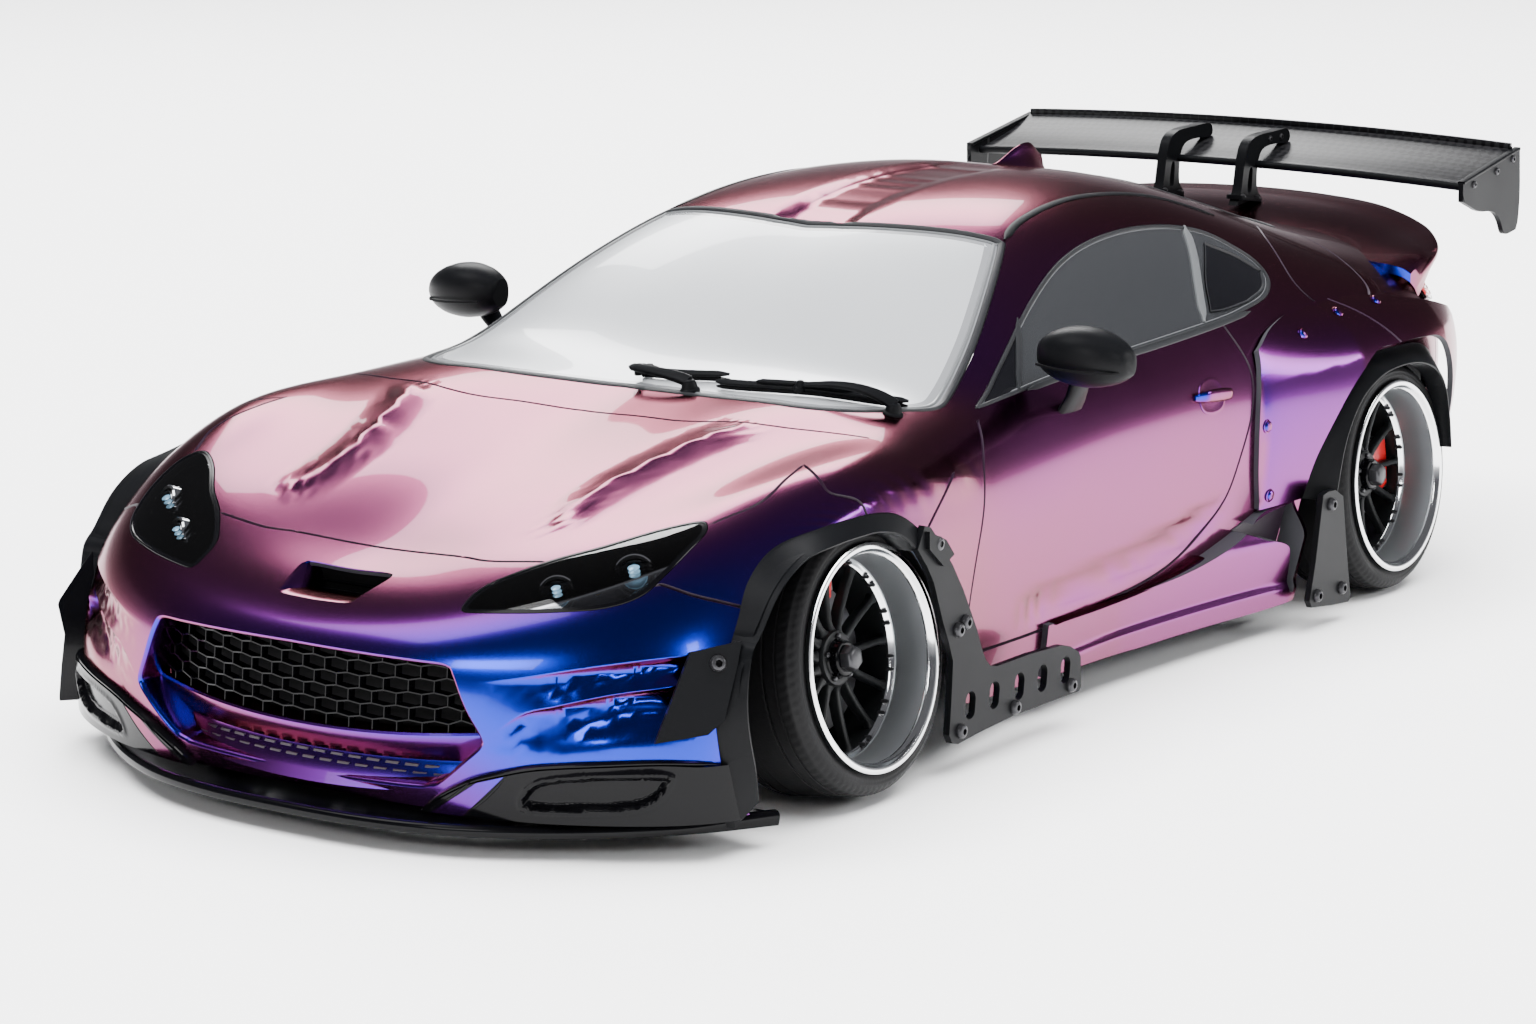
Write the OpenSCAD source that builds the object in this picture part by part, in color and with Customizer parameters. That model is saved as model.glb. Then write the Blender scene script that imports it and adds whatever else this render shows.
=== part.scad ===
// One tenth scale drift car: wide coupe shell over a rear drive chassis with independent corners.
// The nose points to -Y, +X is the driver's left, the ground is z = 0 and the outline is centred in X and Y.

/* [Wheels] */
// Distance between the front and rear axles
wheelbase = 257; // [254:0.5:260]
// Outer diameter of every tyre
tyre_d = 62; // [60:0.5:62]
// Width of the tyre between its bulging sidewalls
tyre_w = 25; // [22:0.5:26]
// Width of the rim from flange to flange
rim_w = 26; // [25:0.5:27]
// Number of spokes in each wheel
spoke_count = 12; // [8:1:16]
// Thickness of one spoke across the face
spoke_w = 1.9; // [1.2:0.1:2.6]
// Lean of the front wheels, top inwards, in degrees
front_camber = 8; // [6:0.5:9]
// Lean of the rear wheels, top inwards, in degrees
rear_camber = 4; // [2:0.5:6]

/* [Shell] */
// Wall of the moulded body shell
shell_t = 1.2; // [0.9:0.1:1.6]
// Gap left around each window and lamp
panel_gap = 0.2; // [0.1:0.05:0.4]
// Thickness of the black bolted trims
trim_t = 1.8; // [1.2:0.1:2.4]
// Thickness of the front splitter blade
splitter_t = 2.4; // [1.8:0.1:3]
// Ground clearance under the front splitter
splitter_z = 5; // [4:0.25:6]

/* [Wing] */
// Distance between the outer faces of the end plates
wing_span = 165; // [150:1:175]
// Front to back depth of the wing blade
wing_chord = 30; // [24:1:32]
// Distance between the two stays
stay_pitch = 26; // [20:1:60]

/* [Chassis] */
// Thickness of the carbon main plate
plate_t = 2.5; // [2:0.25:3]
// Ground clearance under the main plate
ride_height = 6; // [5.5:0.25:6.5]
// Length of the lower suspension arms from pin to pin
arm_len = 40; // [39:0.5:40]

/* [Hidden] */
$fa = 6;
$fs = 0.5;

// The shell is drawn about the middle of the wheelbase, then moved so the outline is centred.
frame_y = -2.5;
front_y = -wheelbase / 2;
rear_y = wheelbase / 2;
gap = 0.3;
fit = 0.05;

// Wheel positions
tyre_r = tyre_d / 2;
rim_r = 26;
lip_x_front = 95;
lip_x_rear = 96;
tread_half = 8.6;
hub_x_front = lip_x_front - rim_w / 2 * cos(front_camber);
hub_x_rear = lip_x_rear - rim_w / 2 * cos(rear_camber);
function hub_z(c) = tyre_r * cos(c) + tread_half * sin(c);
hub_z_front = hub_z(front_camber);
hub_z_rear = hub_z(rear_camber);

// Suspension pivots
kingpin_x = 66;
pin_in_x = 16;
pin_out_x = pin_in_x + arm_len;
pin_low_z = 14;
pin_high_z = 44;
plate_top = ride_height + plate_t;
axle_z = 30;

paint = [0.36, 0.16, 0.4];
gloss_black = [0.05, 0.05, 0.06];
satin_black = [0.1, 0.1, 0.11];
smoke = [0.3, 0.32, 0.35];
carbon = [0.13, 0.13, 0.14];
metal = [0.72, 0.73, 0.75];

// Control net of the shell, one block per section from the front lip to the rear lip.
// Each section runs from the lower side edge (driver's left) to the centre line.
NET = [
 [[95, -176, 9], [94.5, -180, 9], [93, -184, 9], [90, -188, 9],
  [85, -192.5, 9], [78, -197.4, 9], [69, -202.2, 9], [58, -206.8, 9],
  [45, -210.5, 9], [31, -212.5, 9], [16, -213, 9], [0, -213, 9]],
 [[96, -172, 14], [95.5, -177, 17], [94, -182, 19], [91, -187.5, 20],
  [86, -193, 20], [79, -198.3, 20], [70, -203.8, 20], [59, -209, 20],
  [46, -213.9, 20], [32, -216.5, 20], [16, -217.5, 20], [0, -217.5, 20]],
 [[96.5, -167, 19], [96.5, -172, 25], [95.5, -177, 29], [92.5, -184, 32],
  [87, -191, 33], [79.5, -197.3, 33.5], [70, -203.8, 33], [59, -209.5, 32],
  [46, -214.9, 32], [32, -218, 32], [16, -219.5, 32], [0, -220, 32]],
 [[96.5, -161, 22], [97, -165, 31], [96.5, -170, 38], [93.5, -177.5, 43],
  [87.5, -186, 45.5], [79, -193.9, 46], [69, -201.5, 46], [58, -207.9, 45],
  [45, -213.9, 44], [31, -217.5, 43.5], [16, -219, 43], [0, -219.5, 43]],
 [[96.5, -154, 23], [97, -157, 34], [97, -161, 44], [94, -168, 51],
  [87.5, -177, 55], [78, -186.3, 56], [67, -194.1, 55.5], [55, -200.9, 54],
  [42, -206.4, 52.5], [29, -209.5, 51.5], [15, -211.5, 50.5], [0, -212, 50]],
 [[96.5, -147, 24], [97, -149, 36], [97, -152, 47], [94.5, -157, 57],
  [88, -165, 63], [78, -174.1, 65], [66, -181.9, 63], [53, -188.7, 60.5],
  [40, -193.5, 58], [27, -196.5, 56], [13.5, -198.5, 55], [0, -199, 54]],
 [[96, -140, 24], [97, -141, 37], [97, -142, 49], [95.5, -145, 61],
  [89, -151, 69], [78.5, -158, 70.5], [66, -165.5, 67.5], [52.5, -173, 65],
  [39.5, -179, 62.5], [26.5, -183.5, 60], [13, -186, 58], [0, -187, 57]],
 [[95.5, -131, 22], [96.5, -131, 36], [97, -131.5, 50], [96, -133, 63],
  [90.5, -136, 73], [80.5, -140.5, 75.5], [67.5, -147, 72], [53.5, -153, 69.5],
  [40, -157, 68.5], [26.5, -160, 67.5], [13, -162, 66], [0, -163, 65]],
 [[95, -121, 20], [96, -121, 35], [96.5, -121, 50], [96, -121, 63],
  [91.5, -122, 74], [82, -124, 77.5], [69, -128, 75.5], [55, -131, 75],
  [41, -133, 75], [27, -134.5, 73.5], [13, -135.5, 72.5], [0, -136, 72]],
 [[94, -106, 18], [95, -106, 33], [95.5, -106, 48], [95, -106, 61],
  [91.5, -106, 72.5], [83.5, -107, 77.5], [71, -108.5, 78], [57, -109.5, 79.5],
  [42.5, -110, 80.5], [28, -110, 79], [14, -110, 78], [0, -110, 77]],
 [[91, -90, 14], [92.5, -90, 29], [93, -90, 44], [93, -90, 58],
  [90.5, -90, 69], [85, -89, 75.5], [74.5, -88, 79.5], [60.5, -88, 82.5],
  [45, -89, 83.5], [30, -89.5, 82.5], [15, -90, 82], [0, -90, 81]],
 [[88, -74, 11], [89.5, -74, 25], [90.5, -74, 40], [91, -73, 54],
  [89.5, -72, 66], [86, -70, 73], [81.5, -67, 76.5], [76, -64, 78.5],
  [67, -64.5, 82], [46, -69, 84.5], [22, -72, 84.5], [0, -73, 84.5]],
 [[86, -55, 10], [87.5, -55, 22], [89, -55, 37], [90, -54, 51],
  [89, -52, 63.5], [86.5, -49, 72], [82, -46, 77.5], [75, -46, 84.5],
  [66, -47.5, 90], [48, -51, 93.5], [24, -52.5, 95], [0, -53, 95]],
 [[85, -35, 9.5], [86.5, -35, 21], [88, -35, 36], [89, -35, 50],
  [89, -33, 62.5], [86.5, -30, 72], [82, -27, 78.5], [71.5, -26, 92.5],
  [61, -27, 100.5], [44, -28, 104.5], [22, -28.5, 106.5], [0, -28.5, 106.5]],
 [[84.5, -12, 9], [86, -12, 20], [87.5, -12, 35.5], [88.5, -12, 50],
  [88.5, -10, 62.5], [86.5, -8, 72], [81.5, -5, 79.5], [68.5, -3, 98.5],
  [56, -4, 109], [40.5, -4, 113], [20.5, -4, 115], [0, -4, 114.5]],
 [[84.5, 14, 9], [86, 14, 20], [87.5, 14, 35.5], [88.5, 14, 50],
  [88.5, 15, 62.5], [86.5, 17, 72], [81, 19, 80.5], [69, 21, 101],
  [57, 22, 112.5], [41, 22, 116], [21, 22, 118.5], [0, 22, 117.5]],
 [[84.5, 42, 9], [86, 42, 20], [87.5, 42, 35.5], [88.5, 42, 50],
  [88.5, 43, 62.5], [86, 44, 73], [80, 46, 82.5], [68.5, 48, 102],
  [56.5, 50, 112.5], [41, 50, 116.5], [21, 50, 119], [0, 50, 118]],
 [[84.5, 70, 9], [86.5, 70, 20], [88.5, 70, 36], [90, 70, 50.5],
  [90, 71, 63], [86.5, 72, 74.5], [79, 73, 85], [67, 75, 100.5],
  [55.5, 77, 109.5], [40.5, 77, 114.5], [20.5, 77, 117], [0, 77, 116.5]],
 [[86, 98, 14], [89, 98, 25], [91.5, 98, 40], [93, 98, 54],
  [91.5, 99, 66], [86, 100, 77], [77, 101, 86.5], [65, 102.5, 97.5],
  [54, 104, 104], [39.5, 104, 108.5], [20, 104, 110.5], [0, 104, 110.5]],
 [[88, 122, 20], [91, 122, 33], [93, 122, 47], [94, 122, 60],
  [91.5, 124, 71], [84.5, 126, 80], [75, 128, 86.5], [64, 129.5, 92.5],
  [52.5, 131, 97], [38.5, 131, 100.5], [19.5, 131, 102], [0, 131, 102.5]],
 [[88, 142, 22], [91, 142, 35], [92.5, 143, 49], [93, 144, 61],
  [89.5, 146, 72], [82, 149, 80], [73, 152, 85], [62.5, 154, 88.5],
  [51, 156, 91.5], [37.5, 157, 93.5], [19, 157.5, 95], [0, 157.5, 95]],
 [[86, 155, 26], [88.5, 156, 38], [89.5, 158, 50], [89, 161, 61],
  [85, 165, 71], [78.5, 169, 78.5], [70.5, 172.5, 83], [60.5, 175.5, 86],
  [49, 178, 88.5], [36, 179.5, 90], [18, 180.5, 91], [0, 181, 91.5]],
 [[84, 164, 30], [85.5, 167, 40], [86, 170, 51], [84.5, 174.5, 61],
  [80.5, 179, 69.5], [75, 183.5, 76], [68, 187.5, 80.5], [58.5, 191.5, 84],
  [47.5, 195, 86.5], [34.5, 197, 88], [17.5, 198.5, 89], [0, 199, 89.5]],
 [[81, 172, 34], [82, 176, 42], [81.5, 180, 51], [79.5, 185, 59],
  [76, 189.5, 66], [71, 194, 71], [64.5, 198, 74.5], [56, 201.5, 77],
  [45.5, 204.5, 78.5], [33, 206.5, 79.5], [16.5, 208, 80], [0, 208.5, 80]],
 [[78, 178, 38], [79, 182, 43.5], [78.5, 186, 49], [76.5, 191, 54],
  [73, 195, 58], [68.5, 199, 61], [62, 202.5, 62.5], [53.5, 206, 63],
  [43.5, 209, 63], [31.5, 211, 63], [16, 212.5, 63], [0, 213, 63]],
 [[75, 183, 41.5], [76, 186.5, 44], [75.5, 190, 46.5], [73.5, 194, 48],
  [70.5, 197.5, 49], [66, 201, 49], [59.5, 204.5, 48], [51.5, 208, 47],
  [42, 210.5, 46], [30.5, 212.5, 45], [15.5, 213.5, 44.5], [0, 214, 44]],
 [[72.5, 187, 43.5], [73.5, 190, 43.5], [73, 193, 43], [71, 196.5, 42],
  [68, 199.5, 40], [63.5, 202.5, 37.5], [57.5, 205.5, 35], [50, 208, 33],
  [41, 210, 31.5], [30, 211.5, 30.5], [15, 212.5, 30], [0, 213, 30]]
];
cols = len(NET) - 1;
rows = len(NET[0]) - 1;

// ---- smooth surface through the net ----
function ahead(p, q) = [for (k = [0 : len(p) - 1]) 2 * p[k] - q[k]];
STRIPS = concat([ahead(NET[0], NET[1])], NET, [ahead(NET[cols], NET[cols - 1])]);
EXT = [for (s = STRIPS) let(c = s[rows - 1])
  concat([2 * s[0] - s[1]], s, [[-c[0], c[1], c[2]]])];
function blend(t) = [pow(1 - t, 3) / 6, (3 * t * t * t - 6 * t * t + 4) / 6,
  (-3 * t * t * t + 3 * t * t + 3 * t + 1) / 6, t * t * t / 6];
function skin(u, v) =
  let(i = min(max(floor(u), 0), cols - 1), j = min(max(floor(v), 0), rows - 1), b = blend(v - j))
  blend(u - i) * [for (k = [0 : 3]) b * [for (l = [0 : 3]) EXT[i + k][j + l]]];
function unit(a) = a / norm(a);
step = 0.02;
function out(u, v) =
  unit(cross(skin(u + step, v) - skin(u - step, v), skin(u, v + step) - skin(u, v - step)));
// Point of the shell pushed out by t; w runs from -rows (right sill) over 0 (centre) to rows (left sill)
function at(u, w, t) = let(v = rows - abs(w), p = skin(u, v) + t * out(u, v)) [sign(w) * p[0], p[1], p[2]];
function grid(us, ws, t) = [for (u = us) [for (w = ws) at(u, w, t)]];
function span(a, b, n) = [for (k = [0 : n]) a + (b - a) * k / n];

// Closed solid between two point grids of the same size
module slab(a, b) {
  m = len(a);
  n = len(a[0]);
  o = m * n;
  function quad(p, q, r, s) = [[p, q, r], [p, r, s]];
  polyhedron(points = concat([for (r = a) each r], [for (r = b) each r]), faces = concat(
    [for (i = [0 : m - 2]) for (k = [0 : n - 2])
      each quad(i * n + k, i * n + k + 1, (i + 1) * n + k + 1, (i + 1) * n + k)],
    [for (i = [0 : m - 2]) for (k = [0 : n - 2])
      each quad(o + i * n + k, o + (i + 1) * n + k, o + (i + 1) * n + k + 1, o + i * n + k + 1)],
    [for (k = [0 : n - 2]) each quad(k, o + k, o + k + 1, k + 1)],
    [for (k = [0 : n - 2]) each quad(o - n + k, o - n + k + 1, 2 * o - n + k + 1, 2 * o - n + k)],
    [for (i = [0 : m - 2]) each quad(i * n, (i + 1) * n, o + (i + 1) * n, o + i * n)],
    [for (i = [1 : m - 1]) each quad(i * n - 1, o + i * n - 1, o + (i + 1) * n - 1, (i + 1) * n - 1)]));
}

// Piece of the shell skin between two offsets
module sheet(u0, u1, nu, w0, w1, nw, t0, t1) {
  us = span(u0, u1, nu);
  ws = span(w0, w1, nw);
  slab(grid(us, ws, t0), grid(us, ws, t1));
}

// Solid through a row of sections with equal point counts, turned so its faces look outwards
function mean(a) = [for (i = [0 : 2]) [for (p = a) 1] * [for (p = a) p[i]] / len(a)];
function lean(a, k) = let(c = mean(a), n = len(a)) k >= n ? [0, 0, 0] :
  cross(a[k] - c, a[(k + 1) % n] - c) + lean(a, k + 1);
module loft(sections) {
  m = len(sections);
  n = len(sections[0]);
  along = mean(sections[m - 1]) - mean(sections[0]);
  turned = [for (a = sections) [for (k = [n - 1 : -1 : 0]) a[k]]];
  s = lean(sections[0], 0) * along > 0 ? sections : turned;
  polyhedron(points = [for (a = s) each a], faces = concat(
    [[for (k = [0 : n - 1]) k]],
    [for (i = [0 : m - 2]) for (k = [0 : n - 1]) let(q = (k + 1) % n)
      each [[i * n + k, (i + 1) * n + k, (i + 1) * n + q], [i * n + k, (i + 1) * n + q, i * n + q]]],
    [[for (k = [n - 1 : -1 : 0]) (m - 1) * n + k]]));
}

module both() {
  children();
  mirror([1, 0, 0]) children();
}
module side(right) mirror([right ? 1 : 0, 0, 0]) children();
module frame() translate([0, frame_y, 0]) children();
// Prisms drawn in the side, front and top views
module side_prism(x0, x1) translate([x0, 0, 0]) rotate([90, 0, 90]) linear_extrude(x1 - x0) children();
module front_prism(y0, y1) translate([0, y1, 0]) rotate([90, 0, 0]) linear_extrude(y1 - y0) children();
module top_prism(z0, z1) translate([0, 0, z0]) linear_extrude(z1 - z0) children();
module rounded(pts, r) hull() for (p = pts) translate(p) circle(r = r, $fn = 16);
module bar_x(x0, x1, y, z, r) translate([x0, y, z]) rotate([0, 90, 0]) cylinder(r = r, h = x1 - x0);
module bar_y(x, y0, y1, z, r) translate([x, y0, z]) rotate([-90, 0, 0]) cylinder(r = r, h = y1 - y0);
module post(x, y, z0, z1, r) translate([x, y, z0]) cylinder(r = r, h = z1 - z0);
module block(x0, x1, y0, y1, z0, z1) translate([x0, y0, z0]) cube([x1 - x0, y1 - y0, z1 - z0]);

// ---- outlines ----
screen = [[-68, 82], [68, 82], [50.5, 107], [-50.5, 107], [0, 109.5]];
back_light = [[-38, 104], [38, 104], [46, 148], [-46, 148]];
side_glass = [[-55, 81], [-42, 86], [-18, 95], [4, 102], [26, 105.5], [50, 105.5], [72, 102], [86, 96],
  [91, 91], [88, 88], [80, 87], [54, 85]];
mouth = [[-33, 42], [33, 42], [44, 28], [34, 17], [-34, 17], [-44, 28]];
scoop = [[-14, 53.4], [14, 53.4], [10, 49.2], [-10, 49.2]];
lamp = [[42.5, 52.5], [44.5, 55.5], [52, 60], [62, 65], [71, 68.4], [74.5, 66.5], [73, 60], [66, 55],
  [54, 53]];
arch_front = [[-176, 0], [-182, 31], [-179, 43], [-173, 52], [-165, 60], [-155, 64], [-143, 65], [-130, 65],
  [-119, 62.5], [-109, 56], [-100, 46], [-94.5, 36], [-91, 24], [-90, 0]];
band_front_out = [[-183, 7], [-185, 31], [-180.5, 43], [-175, 51], [-169, 58], [-160, 63.5], [-148, 66],
  [-137, 66.8], [-126, 66.3], [-117, 63.8], [-105.5, 56], [-96, 43.5], [-88, 30], [-84.5, 22.6]];
band_front_in = [[-94, 22.6], [-98.2, 28], [-99.6, 37], [-104, 47], [-114.5, 56], [-121.5, 60.5],
  [-132, 62.6], [-146, 62.5], [-156, 60.5], [-164, 56], [-171, 49.5], [-175.5, 43],
  [-178.5, 31], [-175.5, 7]];
leg_plate = [[-100.6, 22], [-92, 24], [-84.5, 22.6], [-51.6, 21.6], [-44.5, 19.5], [-43, 16],
  [-43, 8.4], [-74, 8.2], [-98, 7], [-101.2, 9.5]];
arch_rear = [[84, 0], [84, 30], [90, 48.5], [97, 59.6], [108, 67.4], [125, 68.6], [143, 66.4], [153, 59.5],
  [159, 49], [161.5, 39], [162.5, 30], [163, 0]];
band_rear_out = [[76, 8], [77.5, 34.5], [82.5, 47], [93.2, 58.7], [105, 66], [118.9, 67.5], [135, 67.5],
  [149, 65.4], [156, 59], [159.5, 50], [161, 40]];
band_rear_in = [[154, 40], [153.5, 46], [149.5, 54.5], [140, 60.4], [125, 62.8], [110.5, 62.4], [99, 57.8],
  [92, 48.3], [88.5, 34], [92.5, 8]];

// ---- shell ----
module body_shell() color(paint) frame() difference() {
  sheet(0, cols, 46, -rows, rows, 40, -shell_t, 0);
  front_prism(-70, 6) rounded(screen, 2);
  top_prism(90, 125) rounded(back_light, 2);
  both() side_prism(50, 96) rounded(side_glass, 1.5);
  front_prism(-240, -190) rounded(mouth, 1.5);
  front_prism(-240, -180) rounded(scoop, 1.2);
  both() front_prism(-230, -140) rounded(lamp, 1);
  both() side_prism(60, 110) polygon(arch_front);
  both() side_prism(60, 110) polygon(arch_rear);
}
module glass(u0, u1, nu, w0, w1, nw) sheet(u0, u1, nu, w0, w1, nw, -shell_t, -0.2);
module glazing() color(smoke) frame() {
  intersection() {
    glass(9.5, 15, 8, -4.5, 4.5, 12);
    front_prism(-70, 6) rounded(screen, 2 - panel_gap);
  }
  intersection() {
    glass(17, 21, 6, -4, 4, 8);
    top_prism(90, 125) rounded(back_light, 2 - panel_gap);
  }
  both() difference() {
    intersection() {
      glass(10.5, 18.5, 12, 2, 6, 6);
      side_prism(50, 96) rounded(side_glass, 1.5 - panel_gap);
    }
    side_prism(50, 96) polygon([[46, 78], [49, 78], [64, 110], [61, 110]]);
  }
}
grille_y = -205;
grille_t = 1.6;
module front_grille() color(gloss_black) frame() front_prism(grille_y, grille_y + grille_t) difference() {
  rounded([for (p = mouth) [p[0] * 0.98, p[1]]], 0.8);
  for (r = [0 : 6])
    for (c = [-6 : 6])
      let(z = 17.5 + r * 3.5, x = c * 6 + (r % 2) * 3)
        if (abs(x) + 2.6 < 44 - abs(z - 28) * 0.75)
          translate([x - 2.4, z]) square([4.8, 2.3]);
}
module headlights() color(gloss_black) frame() both() {
  intersection() {
    sheet(3, 7.5, 8, 4.5, 8.5, 8, -6, -4.6);
    front_prism(-230, -140) rounded(lamp, 1);
  }
  for (p = [[3.95, 6.9], [4.85, 5.95]])
    translate(at(p[0], rows - p[1], -5)) rotate([90, 0, 20]) cylinder(r = 3, h = 2);
}
module headlight_lenses() color(smoke) frame() both() intersection() {
  sheet(3, 7.5, 10, 4, 8.5, 10, -1, -0.2);
  front_prism(-230, -140) rounded(lamp, 1 - panel_gap);
}
module tail_lights() color([0.45, 0.05, 0.06]) frame() both() intersection() {
  sheet(21.5, 25, 8, 3, 8, 8, 0.3, 1.6);
  front_prism(165, 230) rounded([[48, 76], [62, 77], [75, 76], [78, 70], [64, 68.5], [49, 70]], 1.2);
}
lip_out = [[0, -223], [22, -222], [42, -217.5], [60, -208.5], [76, -196.5], [88, -184], [97.5, -170]];
lip_in = [[0, -204], [20, -203], [38, -200], [52, -194.5], [62, -185], [70, -176], [80, -168]];
module front_splitter() color(gloss_black) frame() both() {
  top = splitter_z + splitter_t;
  top_prism(splitter_z, top)
    polygon(concat(lip_out, [for (k = [len(lip_in) - 1 : -1 : 0]) lip_in[k]]));
  loft([for (k = [3 : 6]) let(p = lip_out[k], q = lip_out[k] + (lip_in[k] - lip_out[k]) * 0.12)
    [[p[0], p[1], top], [q[0], q[1], top], [q[0], q[1], top + (k - 3) * 0.9 + 0.6],
     [p[0], p[1], top + (k - 3) * 0.9 + 0.6]]]);
}
module canards() color(gloss_black) frame() both() intersection() {
  sheet(0.6, 4, 6, 5.5, 9, 8, 0.15, 1.7);
  side_prism(60, 110)
    polygon([[-198, 26], [-192, 24.5], [-186.5, 31], [-182, 43], [-181, 45.5], [-188, 45.5]]);
}
// The band lies on the shell ahead of the wheel and stands off it behind, where the tyre swings out
function stand_off(y) = 0.15 + 4.4 * min(max((y + 126) / 16, 0), 1);
module front_arches() color(satin_black) frame() both() {
  us = span(1, 12, 22);
  ws = span(7, 11, 10);
  intersection() {
    slab([for (u = us) [for (w = ws) at(u, w, stand_off(at(u, w, 0)[1]))]],
      [for (u = us) [for (w = ws) at(u, w, stand_off(at(u, w, 0)[1]) + trim_t)]]);
    side_prism(80, 110) polygon(concat(band_front_out, band_front_in));
  }
  side_prism(96, 96 + 1.6) difference() {
    polygon(leg_plate);
    for (k = [0 : 4])
      translate([-92.5 + k * 10.6, 15.6 - k * 0.2]) scale([1, 1.25]) circle(r = 2.4);
  }
}
// Wide rear quarter panels: the skin pushed out by a bulge that grows towards the wheel
function part(t) = min(max(t, 0), 1);
function swell(y, z) = 1.4 + 7.6 * pow(part((y - 62) / 42), 0.75) * (1 - pow(part((z - 60) / 26), 2))
  * (1 - 0.5 * part((y - 150) / 40));
quarter = [[61, 34], [58, 60], [63.5, 76], [90, 81], [112, 80], [148, 74.5], [172, 70], [176, 56],
  [176, 38], [161, 38], [159, 50], [153, 58.5], [143, 64.5], [125, 66.5], [107, 65.8], [95, 58.8],
  [87, 47.5], [84, 33]];
module rear_overfenders() color(paint) frame() both() {
  us = span(16.2, 24.5, 26);
  ws = span(5.2, 11, 16);
  intersection() {
    slab(grid(us, ws, 0.1),
      [for (u = us) [for (w = ws) let(p = at(u, w, 0)) at(u, w, swell(p[1], p[2]))]]);
    difference() {
      side_prism(60, 110) polygon(quarter);
      side_prism(97.3, 112) offset(delta = 0.2) polygon(concat(band_rear_out, band_rear_in));
    }
  }
}
module rear_arches() color(satin_black) frame() both()
  side_prism(97.6, 97.6 + trim_t * 0.8) polygon(concat(band_rear_out, band_rear_in));
sill = [[-43, 8], [-43, 24], [-20, 23], [20, 24.5], [50, 30], [78, 33], [80, 20], [80, 8]];
function flare(y, z) =
  1.8 + 5.2 * pow(part((y - 8) / 64), 1.6) * part((34 - z) / 8) + 1.2 * part((16 - z) / 5);
module side_skirts() color(paint) frame() both() {
  us = span(10.5, 19, 24);
  ws = span(9, 11, 8);
  intersection() {
    slab(grid(us, ws, 0.15), [for (u = us) [for (w = ws) let(p = at(u, w, 0)) at(u, w, flare(p[1], p[2]))]]);
    side_prism(70, 110) polygon(sill);
  }
}

// ---- tail and wing ----
module ducktail() color(paint) frame() {
  tips = [[-72, 160, 83.5, 180, 88], [-66, 168, 85, 192, 92.5], [-48, 176, 87.5, 202, 95.5],
    [-24, 180, 89.5, 207, 97.5], [0, 181, 90.2, 208.5, 98]];
  line = concat(tips, [for (k = [3 : -1 : 0]) [-tips[k][0], tips[k][1], tips[k][2], tips[k][3], tips[k][4]]]);
  loft([for (t = line) [[t[0], t[1], t[2] + 3.6], [t[0], (t[1] + t[3]) / 2, t[2] + 5.4],
    [t[0], t[3], t[4]], [t[0], t[3] + 1, t[4] - 1.4], [t[0], t[3] - 6, t[4] - 4.6],
    [t[0], t[1] + 4, t[2] + 2.4]]]);
}
blade_y = 196;
blade_z = 102;
module wing_blade() color(gloss_black) frame() {
  half = wing_span / 2 - 1.6;
  c = wing_chord;
  a = blade_y;
  loft([for (k = [-6 : 6]) let(x = k / 6 * half, z = blade_z + 2.4 * (1 - pow(k / 6, 2)))
    [[x, a, z], [x, a + c * 0.12, z + 1.9], [x, a + c * 0.4, z + 3], [x, a + c * 0.75, z + 4.6],
     [x, a + c, z + 6.6], [x, a + c - 0.5, z + 5.8], [x, a + c * 0.7, z + 2.6], [x, a + c * 0.4, z + 0.5],
     [x, a + c * 0.1, z - 1]]]);
}
module wing_end_plates() color(gloss_black) frame() both() side_prism(wing_span / 2 - 1.5, wing_span / 2)
  polygon([[191.5, 99], [191.5, 104.3], [228, 109.6], [228, 99], [222, 87], [218, 88.5], [212, 92.6],
    [204, 95.4], [200, 96.2]]);
module wing_stays() color(satin_black) frame() for (s = [-1, 1])
  side_prism(s * stay_pitch / 2 - 1.5, s * stay_pitch / 2 + 1.5) 
    polygon([[184, 94.7], [196, 96.2], [195.5, 98], [195.6, 102.2], [195.8, 106.6], [198, 108.2],
      [214, 110.6], [214, 113], [197, 111.2], [192, 109.6], [188.5, 105], [187, 98]]);
module roof_fin() color([0.5, 0.1, 0.32]) frame() loft([for (p = [[75, 0.8, 0.4], [82, 2.6, 4.4],
  [89, 3.2, 6.2], [95, 3, 6], [98, 2.4, 2.8]]) let(z = 116.6 - (p[0] - 75) * 0.18)
  [[-p[1], p[0], z], [-p[1] * 0.6, p[0], z + p[2] * 0.6], [0, p[0], z + p[2]],
   [p[1] * 0.6, p[0], z + p[2] * 0.6], [p[1], p[0], z]]]);

// ---- small outside pieces ----
module mirrors() color(gloss_black) frame() both() {
  loft([for (p = [[84.4, 3.2, 3.4], [86.5, 5.4, 5.2], [92, 6.8, 6], [99, 6.8, 6], [104, 5, 4.8],
      [106, 2.4, 2.6]])
    [for (k = [0 : 9]) let(a = k * 36) [p[0], -36.2 + p[1] * cos(a), 88.4 + p[2] * sin(a)]]]);
  loft([for (p = [[86.2, -30, 74.6, 3.6], [87.8, -31, 77, 3.2], [90.5, -34, 82.6, 2.6]])
    [[p[0], p[1] - p[3], p[2] - 1.6], [p[0], p[1] + p[3], p[2] - 1.6],
     [p[0], p[1] + p[3], p[2] + 1.6], [p[0], p[1] - p[3], p[2] + 1.6]]]);
}
module wipers() color(satin_black) frame() for (p = [[[-58, -71.5, 84.2], [-12, -73.5, 89.5]],
    [[-2, -73.5, 88], [48, -68.8, 86.8]]])
  loft([for (t = [0 : 0.25 : 1]) let(c = p[0] + t * (p[1] - p[0]))
    [for (d = [[-1, -1], [-1, 1], [1, 1], [1, -1]]) c + [0, d[0] * 0.8, d[1] * 0.7]]]);
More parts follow.
